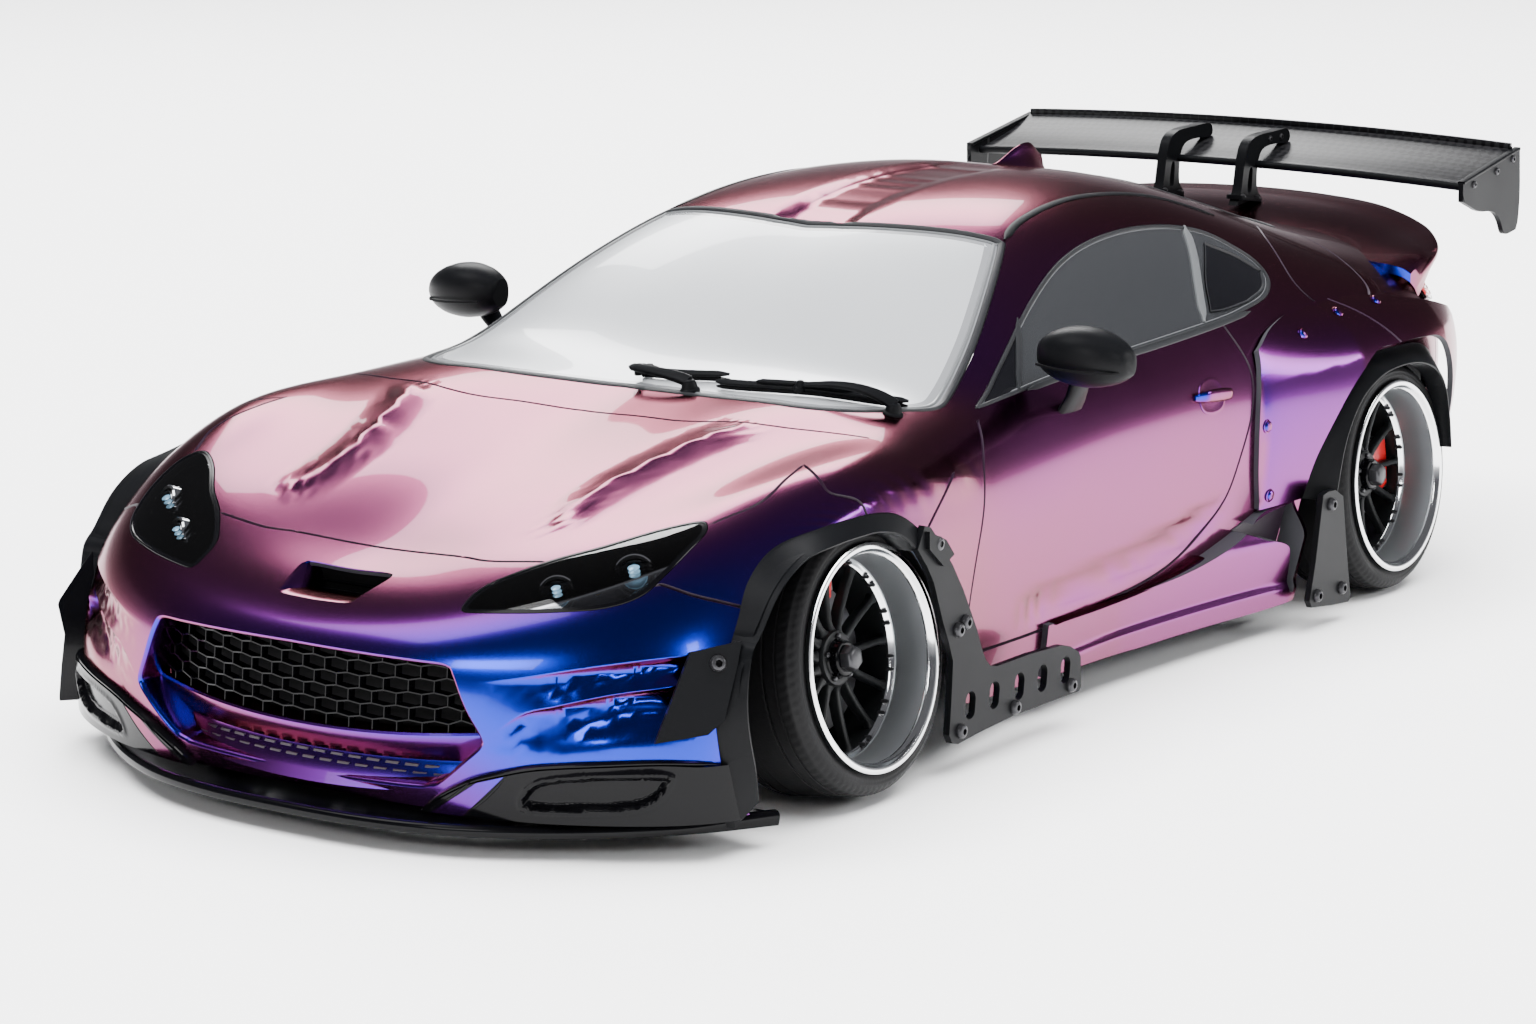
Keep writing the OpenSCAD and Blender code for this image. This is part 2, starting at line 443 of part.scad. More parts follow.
module door_handles() color(paint) frame() both()
  side_prism(88.2, 90.4) rounded([[31, 66.2], [45, 67.6]], 1.7);
screws = [[-108, 57.5, 101.2], [-96.5, 36.5, 100.4], [-92.5, 33.2, 99.7], [-96.5, 10.6, 97.7],
  [-73, 10.4, 97.7], [-48, 10.6, 97.7], [82.5, 36, 99.2], [86, 13, 99.2], [79.5, 13, 99.2]];
module body_screws() color(metal) frame() both() for (s = screws)
  bar_x(s[2], s[2] + 1.1, s[0], s[1], 1.5);
module rear_diffuser() color(satin_black) frame() {
  loft([for (p = [[166, 15.5, 17.5], [186, 19, 21], [206, 25, 27.2]])
    [[-52, p[0], p[1]], [-52, p[0], p[2]], [52, p[0], p[2]], [52, p[0], p[1]]]]);
  for (x = [-44, -22, 0, 22, 44])
    side_prism(x - 0.8, x + 0.8) polygon([[166, 16], [206, 25.6], [206, 18], [198, 13], [168, 10]]);
}

// ---- chassis ----
plan = [[18, -178], [26, -172], [22, -140], [22, -108], [40, -96], [44, -60], [44, 20], [42, 52], [34, 84],
  [24, 104], [22, 150], [20, 160]];
module chassis_plate() color(carbon) frame() top_prism(ride_height, plate_top)
  polygon(concat(plan, [for (k = [len(plan) - 1 : -1 : 0]) [-plan[k][0], plan[k][1]]]));
module brackets(x0, y0) both() {
  difference() {
    block(x0, 19.5, y0 - 5, y0 + 5, pin_low_z - 3.4, pin_low_z + 3.4);
    bar_y(pin_in_x, y0 - 6, y0 + 6, pin_low_z, 1.2 + fit);
  }
  block(x0, 20.5, y0 - 3, y0 + 3, pin_high_z - 2.4, pin_high_z + 2.4);
}
module front_bulkhead() color(satin_black) frame() {
  block(-11, 11, front_y - 8, front_y + 8, plate_top, 47.5);
  brackets(10.5, front_y);
}
module rear_gearbox() color(satin_black) frame() difference() {
  union() {
    block(-12.3, 12.3, rear_y - 18.5, rear_y + 16, plate_top, 48.5);
    block(-13, -3, 92, rear_y - 18, plate_top, 42);
    brackets(12, rear_y);
  }
  bar_x(-6.5, 6.5, rear_y, axle_z, 15);
  bar_x(-20, 20, rear_y, axle_z, 4 + fit);
  bar_x(-14, 1, 95.5, 34, 2.5 + fit);
}
module shock_towers() color(carbon) frame() {
  front_prism(front_y - 11.5, front_y - 8.5) polygon([[-11, plate_top], [11, plate_top], [14, 36],
    [30, 52], [26, 60], [-26, 60], [-30, 52], [-14, 36]]);
  front_prism(rear_y + 16.5, rear_y + 19.5) polygon([[-12, plate_top], [12, plate_top], [14, 38],
    [30, 58], [26, 66], [-26, 66], [-30, 58], [-14, 38]]);
}
module battery() color([0.15, 0.2, 0.32]) frame() difference() {
  block(-23.5, 23.5, -72, 24, plate_top, 33);
  for (s = [-1, 1])
    post(s * 14, -62, 27, 34, 2);
}
module motor() color(metal) frame() difference() {
  union() {
    bar_x(-14, 34, 73.1, 31, 17.6);
    bar_x(-17, -14, 73.1, 31, 15.5);
    block(-17, -14, 62, 84, plate_top, 20);
  }
  bar_x(-18, -11, 73.1, 31, 1.6 + fit);
}
module electronics() color(satin_black) frame() {
  block(-18, 18, 29, 51, plate_top, 24);
  for (k = [-3 : 3])
    block(k * 5 - 0.8, k * 5 + 0.8, 31, 49, 24, 28);
  block(28, 40, -44, -14, plate_top, 20);
  block(-40, -27, -40, -20, plate_top, 18);
}
module steering_servo() color(satin_black) frame() {
  block(-10, 30, -104.5, -84.5, plate_top, 28);
  block(-14, 34, -104.5, -84.5, 21, 23);
  post(0, -94.5, 28, 29.4, 5.5);
}
module body_posts() color(satin_black) frame() both() {
  post(20, -160, plate_top, 62, 3);
  block(-0.5, 22, -164, -156, plate_top, 12);
  post(9, 152, 22, 78, 3);
  block(-0.5, 12, 148, 156, 22, 28);
}
module bumper_foam() color([0.2, 0.2, 0.22]) frame() top_prism(10, 26)
  polygon([[-40, -184], [-34, -196], [-16, -200.5], [16, -200.5], [34, -196], [40, -184], [24, -179],
    [-24, -179]]);
damper_tops = [[front_y - 19.5, 54, 1], [rear_y + 27.5, 60, -1]];
module dampers() color([0.75, 0.6, 0.15]) frame() for (e = damper_tops) both()
  translate([22, e[0], e[1]]) rotate([0, 180 - 28, 0]) {
    cylinder(r = 5.2, h = 22);
    translate([0, 0, 22]) cylinder(r = 1.5, h = 12);
    translate([0, 0, 33]) cylinder(r = 4.6, h = 3);
    translate([0, e[2] * 2, 0]) rotate([90, 0, 0]) cylinder(r = 3, h = 12, center = true);
    for (k = [0 : 4])
      translate([0, 0, 10 + k * 5]) rotate_extrude($fn = 32) translate([6.4, 0]) circle(r = 0.8, $fn = 14);
    translate([0, 0, 8.2]) cylinder(r = 7, h = 1.4);
  }

// ---- steering ----
module servo_horn() color(metal) frame() {
  post(0, -94.5, 29.7, 32.4, 4.2);
  top_prism(29.7, 32.4) rounded([[0, -94.5], [0, -106]], 2.2);
}
rack_y = front_y + 18.6;
module steering_rack() color(metal) frame() {
  block(-18, 18, rack_y - 1.4, rack_y + 1.4, 28.4, 31.6);
  both() {
    bar_x(17, kingpin_x - 2, rack_y, axle_z, 1.3);
    bar_y(kingpin_x, rack_y - 1.6, rack_y + 1.6, axle_z, 3);
  }
}

// ---- corners: x side, axle position, front or rear ----
module lower_arm(right, y0) color(satin_black) frame() side(right) difference() {
  union() {
    top_prism(pin_low_z - 2.4, pin_low_z + 2.4) polygon([[16, y0 - 12], [22, y0 - 12], [50, y0 - 6.5],
      [pin_out_x - 3.4, y0 - 6.5], [pin_out_x - 3.4, y0 + 6.5], [50, y0 + 6.5], [22, y0 + 12], [16, y0 + 12],
      [16, y0 + 8.6], [22, y0 + 8.6], [22, y0 - 8.6], [16, y0 - 8.6]]);
    for (s = [-1, 1])
      bar_y(pin_in_x, y0 + s * 10.3 - 1.7, y0 + s * 10.3 + 1.7, pin_low_z, 3.2);
    bar_y(pin_in_x, y0 - 12, y0 + 12, pin_low_z, 1.2);
  }
  block(28, 42, y0 - 3.6, y0 + 3.6, 8, 20);
}
module upper_arm(right, y0) color(metal) frame() side(right) {
  bar_y(20.5 + 3.4, y0 - 2, y0 + 2, pin_high_z, 3);
  bar_x(25, pin_out_x - 5, y0, pin_high_z, 1.4);
  bar_y(pin_out_x - 6, y0 - 2, y0 + 2, pin_high_z, 2.6);
}
module wheel_axis(hx, hy, hz, c) translate([hx, hy, hz]) rotate([0, 90 - c, 0]) children();
module caliper(c) {
  rotate([0, 0, c]) difference() {
    translate([14.4, -7, -8]) cube([6, 14, 6.6]);
    translate([10, -8, -4.7]) cube([7.4, 16, 1.6]);
  }
}
module front_carrier(right) color(metal) frame() side(right) {
  block(pin_out_x - 2.8, pin_out_x + 1, front_y - 5, front_y + 5, 11, 47);
  for (z = [18, 40]) {
      block(pin_out_x, kingpin_x, front_y - 2.6, front_y + 2.6, z, z + 4);
      post(kingpin_x, front_y, z, z + 4, 2.6);
    }
  post(kingpin_x, front_y, 20, 42, 1.5);
}
module knuckle(right) color(satin_black) frame() side(right) difference() {
  union() {
    block(kingpin_x - 4.5, kingpin_x + 4.5, front_y - 5, front_y + 5, 22.4, 39.6);
    top_prism(28, 32) polygon([[kingpin_x - 2.3, front_y], [kingpin_x + 2.3, front_y],
      [kingpin_x + 2.3, front_y + 16], [kingpin_x - 2.3, front_y + 16]]);
    wheel_axis(hub_x_front, front_y, hub_z_front, front_camber) {
      translate([0, 0, -14]) cylinder(r = 5, h = 8.4);
      translate([0, 0, -6]) cylinder(r = 2, h = 11);
      caliper(180);
      translate([-16, -3, -9.6]) cube([14, 6, 2.4]);
    }
  }
  post(kingpin_x, front_y, 10, 50, 1.5 + fit);
}
module rear_carrier(right) color(metal) frame() side(right) difference() {
  union() {
    block(pin_out_x - 2.8, pin_out_x + 1, rear_y - 6, rear_y + 6, 11, 47);
    block(pin_out_x, pin_out_x + 14, rear_y - 6, rear_y + 6, 20, 40);
    wheel_axis(hub_x_rear, rear_y, hub_z_rear, rear_camber) {
      translate([0, 0, -15]) cylinder(r = 8, h = 8);
      caliper(90);
      translate([-4, 4, -9.6]) cube([8, 14, 2.4]);
    }
  }
  wheel_axis(hub_x_rear, rear_y, hub_z_rear, rear_camber)
    translate([0, 0, -40]) cylinder(r = 2 + fit, h = 44);
  bar_x(40, 60, rear_y, axle_z, 5);
}
rim_half = rim_w / 2;
module spokes() difference() {
  union() {
    circle(r = 6.4);
    for (k = [0 : spoke_count - 1])
      rotate(k * 360 / spoke_count) polygon([[4, -spoke_w * 0.62], [22.8, -spoke_w * 0.42],
        [22.8, spoke_w * 0.42], [4, spoke_w * 0.62]]);
  }
  circle(r = 2 + fit);
}
module rim(driven) {
  rotate_extrude() polygon([[26, rim_half], [26, rim_half - 1.2], [24.7, rim_half - 1.8], [24, rim_half - 4],
    [23.8, 2 - rim_half + 2], [24.7, 1.8 - rim_half], [26, 1.2 - rim_half], [26, -rim_half],
    [24.4, -rim_half], [22.6, 4 - rim_half], [22.6, 1.4], [23.2, 2.4],
    [23.4, rim_half - 3], [24.4, rim_half]]);
  translate([0, 0, -1.2]) linear_extrude(2.6) spokes();
  difference() {
    translate([0, 0, -4.4]) cylinder(r = 6, h = 7.4);
    translate([0, 0, -9]) cylinder(r = 2 + fit, h = 18);
  }
  difference() {
    translate([0, 0, -4.4]) cylinder(r = 17, h = 1);
    translate([0, 0, -5]) cylinder(r = 2 + fit, h = 3);
  }
  if (driven)
    translate([0, 0, -18]) cylinder(r = 2, h = 23);
  translate([0, 0, 5 + gap * (driven ? -1 : 1)]) cylinder(r = 3, h = 2.6, $fn = 6);
  difference() {
    translate([0, 0, 2.6]) cylinder(r = 3.6, h = driven ? 2.6 : 3);
    translate([0, 0, 2]) cylinder(r = 2 + fit, h = 5);
  }
  for (k = [0 : 4])
    rotate(k * 72 + 36) translate([4.9, 0, 1.2]) cylinder(r = 0.7, h = 2.4);
}
module tyre() {
  w = tyre_w / 2;
  rotate_extrude() polygon([[24.95, 10.9], [26.2, w - 1.1], [27.6, w - 0.5], [29.2, w - 0.9], [30.2, w - 2],
    [tyre_r - 0.35, 10], [tyre_r, tread_half], [tyre_r, -tread_half], [tyre_r - 0.35, -10],
    [30.2, 2 - w], [29.2, 0.9 - w],
    [27.6, 0.5 - w], [26.2, 1.1 - w], [24.95, -10.9], [24.95, -9.4], [28.2, -8.6],
    [28.2, 8.6], [24.95, 9.4]]);
}
module at_front(right) frame() side(right)
  wheel_axis(hub_x_front, front_y, hub_z_front, front_camber) children();
module at_rear(right) frame() side(right)
  wheel_axis(hub_x_rear, rear_y, hub_z_rear, rear_camber) children();
module front_rim(right) color(satin_black) at_front(right) rim(false);
module rear_rim(right) color(satin_black) at_rear(right) rim(true);
module front_tyre(right) color([0.06, 0.06, 0.06]) at_front(right) tyre();
module rear_tyre(right) color([0.06, 0.06, 0.06]) at_rear(right) tyre();

// ---- drive ----
tooth = [[0, -1.1], [0.3, -1.1], [0.5, 0], [0.8, 0]];
module gear(teeth, r, h) linear_extrude(h) polygon([for (k = [0 : teeth - 1]) for (p = tooth)
  let(a = 360 / teeth * (k + p[0])) [(r + p[1]) * cos(a), (r + p[1]) * sin(a)]]);
module rear_axle() color(metal) frame() {
  bar_x(-6, 6, rear_y, axle_z, 14.4);
  bar_x(-14, 14, rear_y, axle_z, 4);
  bar_x(-52, 52, rear_y, axle_z, 2);
}
module spur_gear() color([0.85, 0.85, 0.82]) frame() {
  translate([-20, 95.5, 34]) rotate([0, -90, 0]) gear(60, 16.8, 3);
  bar_x(-20.5, -6, 95.5, 34, 2.5);
}
module pinion_gear() color([0.7, 0.6, 0.3]) frame() {
  translate([-19.5, 73.1, 31]) rotate([0, -90, 0]) gear(20, 5.2, 4);
  bar_x(-20, -12, 73.1, 31, 1.6);
}

body_shell();
glazing();
front_grille();
headlights();
headlight_lenses();
tail_lights();
front_splitter();
canards();
front_arches();
rear_overfenders();
rear_arches();
side_skirts();
ducktail();
wing_blade();
wing_end_plates();
wing_stays();
mirrors();
wipers();
roof_fin();
door_handles();
body_screws();
rear_diffuser();
chassis_plate();
front_bulkhead();
rear_gearbox();
shock_towers();
battery();
motor();
electronics();
steering_servo();
body_posts();
bumper_foam();
dampers();
servo_horn();
steering_rack();
lower_arm(false, front_y);  // lower_arm_fl
lower_arm(true, front_y);  // lower_arm_fr
lower_arm(false, rear_y);  // lower_arm_rl
lower_arm(true, rear_y);  // lower_arm_rr
upper_arm(false, front_y);  // upper_arm_fl
upper_arm(true, front_y);  // upper_arm_fr
upper_arm(false, rear_y);  // upper_arm_rl
upper_arm(true, rear_y);  // upper_arm_rr
front_carrier(false);  // carrier_fl
front_carrier(true);  // carrier_fr
rear_carrier(false);  // carrier_rl
rear_carrier(true);  // carrier_rr
knuckle(false);  // knuckle_l
knuckle(true);  // knuckle_r
front_rim(false);  // rim_fl
front_rim(true);  // rim_fr
rear_rim(false);  // rim_rl
rear_rim(true);  // rim_rr
front_tyre(false);  // tyre_fl
front_tyre(true);  // tyre_fr
rear_tyre(false);  // tyre_rl
rear_tyre(true);  // tyre_rr
rear_axle();
spur_gear();
pinion_gear();
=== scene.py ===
"""Looks of the drift car: a fine shell laid over its own control net, built wheels, trims, lamps and wing."""

import math

import bpy
import numpy as np
from mathutils import Matrix, Vector
from mathutils.geometry import delaunay_2d_cdt

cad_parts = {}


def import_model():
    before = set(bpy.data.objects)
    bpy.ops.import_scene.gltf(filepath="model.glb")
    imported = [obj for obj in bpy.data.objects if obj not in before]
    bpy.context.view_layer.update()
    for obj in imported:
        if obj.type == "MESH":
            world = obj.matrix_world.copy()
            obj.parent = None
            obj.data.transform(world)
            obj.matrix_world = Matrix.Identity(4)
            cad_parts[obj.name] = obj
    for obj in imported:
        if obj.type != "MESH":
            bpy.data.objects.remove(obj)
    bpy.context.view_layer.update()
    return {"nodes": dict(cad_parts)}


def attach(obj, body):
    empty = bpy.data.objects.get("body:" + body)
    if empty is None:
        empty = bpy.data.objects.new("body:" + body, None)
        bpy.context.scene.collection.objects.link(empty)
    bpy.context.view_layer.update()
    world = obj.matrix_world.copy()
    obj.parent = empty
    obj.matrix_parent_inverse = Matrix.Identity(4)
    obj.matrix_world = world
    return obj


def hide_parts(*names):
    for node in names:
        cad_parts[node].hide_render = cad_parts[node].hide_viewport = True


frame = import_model()
SHIFT = np.array([0.0, -2.5, 0.0])
FRONT, REAR = -128.5, 128.5
rad = math.radians

# Control net of the shell: one row per section from the front lip to the rear lip,
# each from the lower side edge to the centre line, in millimetres.
NET = np.array([
    [(95, -176, 9), (94.5, -180, 9), (93, -184, 9), (90, -188, 9), (85, -192.5, 9), (78, -197, 9),
    (69, -201, 9), (58, -204.5, 9), (45, -207, 9), (31, -208.5, 9), (16, -209, 9), (0, -209, 9)],
    [(96, -172, 14), (95.5, -177, 17), (94, -182, 19), (91, -187.5, 20), (86, -193, 20), (79, -198, 20),
    (70, -202.5, 20), (59, -206.5, 20), (46, -210, 20), (32, -212, 20), (16, -213, 20), (0, -213, 20)],
    [(96.5, -167, 19), (96.5, -172, 25), (95.5, -177, 29), (92.5, -184, 32), (87, -191, 33),
    (79.5, -197, 33.5), (70, -202.5, 33), (59, -207, 32), (46, -211, 32), (32, -213.5, 32), (16, -215, 32),
    (0, -215.5, 32)],
    [(96.5, -161, 22), (97, -165, 31), (96.5, -170, 38), (93.5, -177.5, 43), (87.5, -186, 45.5),
    (79, -193.5, 46), (69, -200, 46), (58, -205, 45), (45, -209.5, 44), (31, -212.5, 43.5), (16, -214, 43),
    (0, -214.5, 43)],
    [(96.5, -154, 23), (97, -157, 34), (97, -161, 44), (94, -168, 51), (87.5, -177, 55), (78, -186, 56),
    (67, -193, 55.5), (55, -199, 54), (42, -203.5, 52.5), (29, -206.5, 51.5), (15, -208.5, 50.5),
    (0, -209, 50)],
    [(96.5, -147, 24), (97, -149, 36), (97, -152, 47), (94.5, -157, 57), (88, -165, 63), (78, -174, 65),
    (66, -181.5, 63), (53, -188, 60.5), (40, -192.5, 58), (27, -195.5, 56), (13.5, -197.5, 55),
    (0, -198, 54)],
    [(96, -140, 24), (97, -141, 37), (97, -142, 49), (95.5, -145, 61), (89, -151, 69), (78.5, -158, 70.5),
    (66, -165.5, 67.5), (52.5, -173, 65), (39.5, -179, 62.5), (26.5, -183.5, 60), (13, -186, 58),
    (0, -187, 57)],
    [(95.5, -131, 22), (96.5, -131, 36), (97, -131.5, 50), (96, -133, 63), (90.5, -136, 73),
    (80.5, -140.5, 75.5), (67.5, -147, 72), (53.5, -153, 69.5), (40, -157, 68.5), (26.5, -160, 67.5),
    (13, -162, 66), (0, -163, 65)],
    [(95, -121, 20), (96, -121, 35), (96.5, -121, 50), (96, -121, 63), (91.5, -122, 74), (82, -124, 77.5),
    (69, -128, 75.5), (55, -131, 75), (41, -133, 75), (27, -134.5, 73.5), (13, -135.5, 72.5), (0, -136, 72)],
    [(94, -106, 18), (95, -106, 33), (95.5, -106, 48), (95, -106, 61), (91.5, -106, 72.5),
    (83.5, -107, 77.5), (71, -108.5, 78), (57, -109.5, 79.5), (42.5, -110, 80.5), (28, -110, 79),
    (14, -110, 78), (0, -110, 77)],
    [(91, -90, 14), (92.5, -90, 29), (93, -90, 44), (93, -90, 58), (90.5, -90, 69), (85, -89, 75.5),
    (74.5, -88, 79.5), (60.5, -88, 82.5), (45, -89, 83.5), (30, -89.5, 82.5), (15, -90, 82), (0, -90, 81)],
    [(88, -74, 11), (89.5, -74, 25), (90.5, -74, 40), (91, -73, 54), (89.5, -72, 66), (86, -70, 73),
    (81.5, -67, 76.5), (76, -64, 78.5), (67, -64.5, 82), (46, -69, 84.5), (22, -72, 84.5), (0, -73, 84.5)],
    [(86, -55, 10), (87.5, -55, 22), (89, -55, 37), (90, -54, 51), (89, -52, 63.5), (86.5, -49, 72),
    (82, -46, 77.5), (75, -46, 84.5), (66, -47.5, 90), (48, -51, 93.5), (24, -52.5, 95), (0, -53, 95)],
    [(85, -35, 9.5), (86.5, -35, 21), (88, -35, 36), (89, -35, 50), (89, -33, 62.5), (86.5, -30, 72),
    (82, -27, 78.5), (71.5, -26, 92.5), (61, -27, 100.5), (44, -28, 104.5), (22, -28.5, 106.5),
    (0, -28.5, 106.5)],
    [(84.5, -12, 9), (86, -12, 20), (87.5, -12, 35.5), (88.5, -12, 50), (88.5, -10, 62.5), (86.5, -8, 72),
    (81.5, -5, 79.5), (68.5, -3, 98.5), (56, -4, 109), (40.5, -4, 113), (20.5, -4, 115), (0, -4, 114.5)],
    [(84.5, 14, 9), (86, 14, 20), (87.5, 14, 35.5), (88.5, 14, 50), (88.5, 15, 62.5), (86.5, 17, 72),
    (81, 19, 80.5), (69, 21, 101), (57, 22, 112.5), (41, 22, 116), (21, 22, 118.5), (0, 22, 117.5)],
    [(84.5, 42, 9), (86, 42, 20), (87.5, 42, 35.5), (88.5, 42, 50), (88.5, 43, 62.5), (86, 44, 73),
    (80, 46, 82.5), (68.5, 48, 102), (56.5, 50, 112.5), (41, 50, 116.5), (21, 50, 119), (0, 50, 118)],
    [(84.5, 70, 9), (86.5, 70, 20), (88.5, 70, 36), (90, 70, 50.5), (90, 71, 63), (86.5, 72, 74.5),
    (79, 73, 85), (67, 75, 100.5), (55.5, 77, 109.5), (40.5, 77, 114.5), (20.5, 77, 117), (0, 77, 116.5)],
    [(86, 98, 14), (89, 98, 25), (91.5, 98, 40), (93, 98, 54), (91.5, 99, 66), (86, 100, 77),
    (77, 101, 86.5), (65, 102.5, 97.5), (54, 104, 104), (39.5, 104, 108.5), (20, 104, 110.5),
    (0, 104, 110.5)],
    [(88, 122, 20), (91, 122, 33), (93, 122, 47), (94, 122, 60), (91.5, 124, 71), (84.5, 126, 80),
    (75, 128, 86.5), (64, 129.5, 92.5), (52.5, 131, 97), (38.5, 131, 100.5), (19.5, 131, 102),
    (0, 131, 102.5)],
    [(88, 142, 22), (91, 142, 35), (92.5, 143, 49), (93, 144, 61), (89.5, 146, 72), (82, 149, 80),
    (73, 152, 85), (62.5, 154, 88.5), (51, 156, 91.5), (37.5, 157, 93.5), (19, 157.5, 95), (0, 157.5, 95)],
    [(86, 155, 26), (88.5, 156, 38), (89.5, 158, 50), (89, 161, 61), (85, 165, 71), (78.5, 169, 78.5),
    (70.5, 172.5, 83), (60.5, 175.5, 86), (49, 178, 88.5), (36, 179.5, 90), (18, 180.5, 91), (0, 181, 91.5)],
    [(84, 164, 30), (85.5, 167, 40), (86, 170, 51), (84.5, 174.5, 61), (80.5, 179, 69.5), (75, 183.5, 76),
    (68, 187.5, 80.5), (58.5, 191.5, 84), (47.5, 195, 86.5), (34.5, 197, 88), (17.5, 198.5, 89),
    (0, 199, 89.5)],
    [(81, 172, 34), (82, 176, 42), (81.5, 180, 51), (79.5, 185, 59), (76, 189.5, 66), (71, 194, 71),
    (64.5, 198, 74.5), (56, 201.5, 77), (45.5, 204.5, 78.5), (33, 206.5, 79.5), (16.5, 208, 80),
    (0, 208.5, 80)],
    [(78, 178, 38), (79, 182, 43.5), (78.5, 186, 49), (76.5, 191, 54), (73, 195, 58), (68.5, 199, 61),
    (62, 202.5, 62.5), (53.5, 206, 63), (43.5, 209, 63), (31.5, 211, 63), (16, 212.5, 63), (0, 213, 63)],
    [(75, 183, 41.5), (76, 186.5, 44), (75.5, 190, 46.5), (73.5, 194, 48), (70.5, 197.5, 49), (66, 201, 49),
    (59.5, 204.5, 48), (51.5, 208, 47), (42, 210.5, 46), (30.5, 212.5, 45), (15.5, 213.5, 44.5),
    (0, 214, 44)],
    [(72.5, 187, 43.5), (73.5, 190, 43.5), (73, 193, 43), (71, 196.5, 42), (68, 199.5, 40),
    (63.5, 202.5, 37.5), (57.5, 205.5, 35), (50, 208, 33), (41, 210, 31.5), (30, 211.5, 30.5),
    (15, 212.5, 30), (0, 213, 30)],
], float)

# How far the middle of the nose stands forward of its first sections, fading out at FADE_X.
NOSE_PUSH = np.array([4, 4.5, 4.5, 5, 3, 1])[:, None]
FADE_X, FADE_WIDTH = 82, 42
nose = NET[: len(NOSE_PUSH)]
fade = np.clip((FADE_X - nose[..., 0]) / FADE_WIDTH, 0, 1)
nose[..., 1] = np.round(nose[..., 1] - NOSE_PUSH * fade, 1)


# ---------------------------------------------------------------- surface
def extend(net):
    a = np.concatenate([2 * net[:1] - net[1:2], net, 2 * net[-1:] - net[-2:-1]], 0)
    mirrored = a[:, -2:-1] * [-1, 1, 1]
    return np.concatenate([2 * a[:, :1] - a[:, 1:2], a, mirrored], 1)


EXT = extend(NET)
NU, NV = NET.shape[0] - 1, NET.shape[1] - 1


def cubic(t):
    return np.stack([(1 - t) ** 3, 3 * t**3 - 6 * t**2 + 4, -3 * t**3 + 3 * t**2 + 3 * t + 1, t**3], -1) / 6


def surf(u, v):
    u, v = np.asarray(u, float), np.asarray(v, float)
    i = np.clip(np.floor(u).astype(int), 0, NU - 1)
    j = np.clip(np.floor(v).astype(int), 0, NV - 1)
    bu, bv = cubic(u - i), cubic(v - j)
    p = np.zeros(u.shape + (3,))
    for a in range(4):
        for b in range(4):
            p += (bu[..., a] * bv[..., b])[..., None] * EXT[i + a, j + b]
    return p


def unit(a):
    return a / np.maximum(np.linalg.norm(a, axis=-1, keepdims=True), 1e-12)


def slopes(u, v, h=0.01):
    return (surf(u + h, v) - surf(u - h, v)) / (2 * h), (surf(u, v + h) - surf(u, v - h)) / (2 * h)


def outward(u, v):
    return unit(np.cross(*slopes(u, v)))


_gu, _gv = [g.ravel() for g in np.meshgrid(np.arange(0, NU + 0.01, 0.2), np.arange(0, NV + 0.01, 0.2),
    indexing="ij")]
_gp = surf(_gu, _gv)


def pull(points, along=None):
    """Surface parameters nearest to each point; along ignores that axis, as in a side, front or top view."""
    q = np.atleast_2d(np.asarray(points, float))
    w = np.ones(3)
    u, v = np.zeros(len(q)), np.zeros(len(q))
    for k in range(0, len(q), 200):
        d = ((q[k : k + 200, None] - _gp[None]) ** 2).sum(2)
        best = d.argmin(1)
        u[k : k + 200], v[k : k + 200] = _gu[best], _gv[best]
    if along is not None:
        w["xyz".index(along)] = 0.02
    for _ in range(12):
        su, sv = slopes(u, v)
        r = (q - surf(u, v)) * w
        su, sv = su * w, sv * w
        a, b, c = (su * su).sum(1), (su * sv).sum(1), (sv * sv).sum(1)
        e, f = (su * r).sum(1), (sv * r).sum(1)
        det = np.maximum(a * c - b * b, 1e-9)
        u = np.clip(u + np.clip((c * e - b * f) / det, -0.5, 0.5), 0, NU)
        v = np.clip(v + np.clip((a * f - b * e) / det, -0.5, 0.5), 0, NV)
    v[np.abs(q[:, 0]) < 0.05] = NV
    return np.stack([u, v], 1)


def smooth(t):
    t = np.clip(t, 0, 1)
    return t * t * (3 - 2 * t)


def flow(points, closed=False, step=1.5):
    """Smooth line through the points; a repeated point makes a corner."""
    pts = [np.array(p, float) for p in points]
    runs = [[pts[0]]]
    for p in pts[1:]:
        if np.allclose(p, runs[-1][-1]):
            runs.append([p])
        else:
            runs[-1].append(p)
    ring = closed and len(runs) == 1
    if closed and not ring:
        runs[-1].append(pts[0])
    line = []
    for run in runs:
        n = len(run)
        spans = n if ring else n - 1
        for k in range(spans):
            b, c = run[k], run[(k + 1) % n]
            a = run[k - 1] if (k or ring) else 2 * b - c
            d = run[(k + 2) % n] if (k + 2 < n or ring) else 2 * c - b
            m = max(1, int(math.ceil(np.linalg.norm(c - b) / step)))
            for t in np.arange(m) / m:
                line.append(0.5 * (2 * b + (c - a) * t + (2 * a - 5 * b + 4 * c - d) * t * t
                    + (3 * b - a - 3 * c + d) * t**3))
    if not closed:
        line.append(runs[-1][-1])
    return np.array(line)


def sides(line, closed=False):
    """Unit directions in the skin at right angles to a line of surface parameters."""
    p = surf(line[:, 0], line[:, 1])
    t = (np.roll(p, -1, 0) - np.roll(p, 1, 0)) if closed else np.gradient(p, axis=0)
    return p, unit(np.cross(outward(line[:, 0], line[:, 1]), unit(t)))


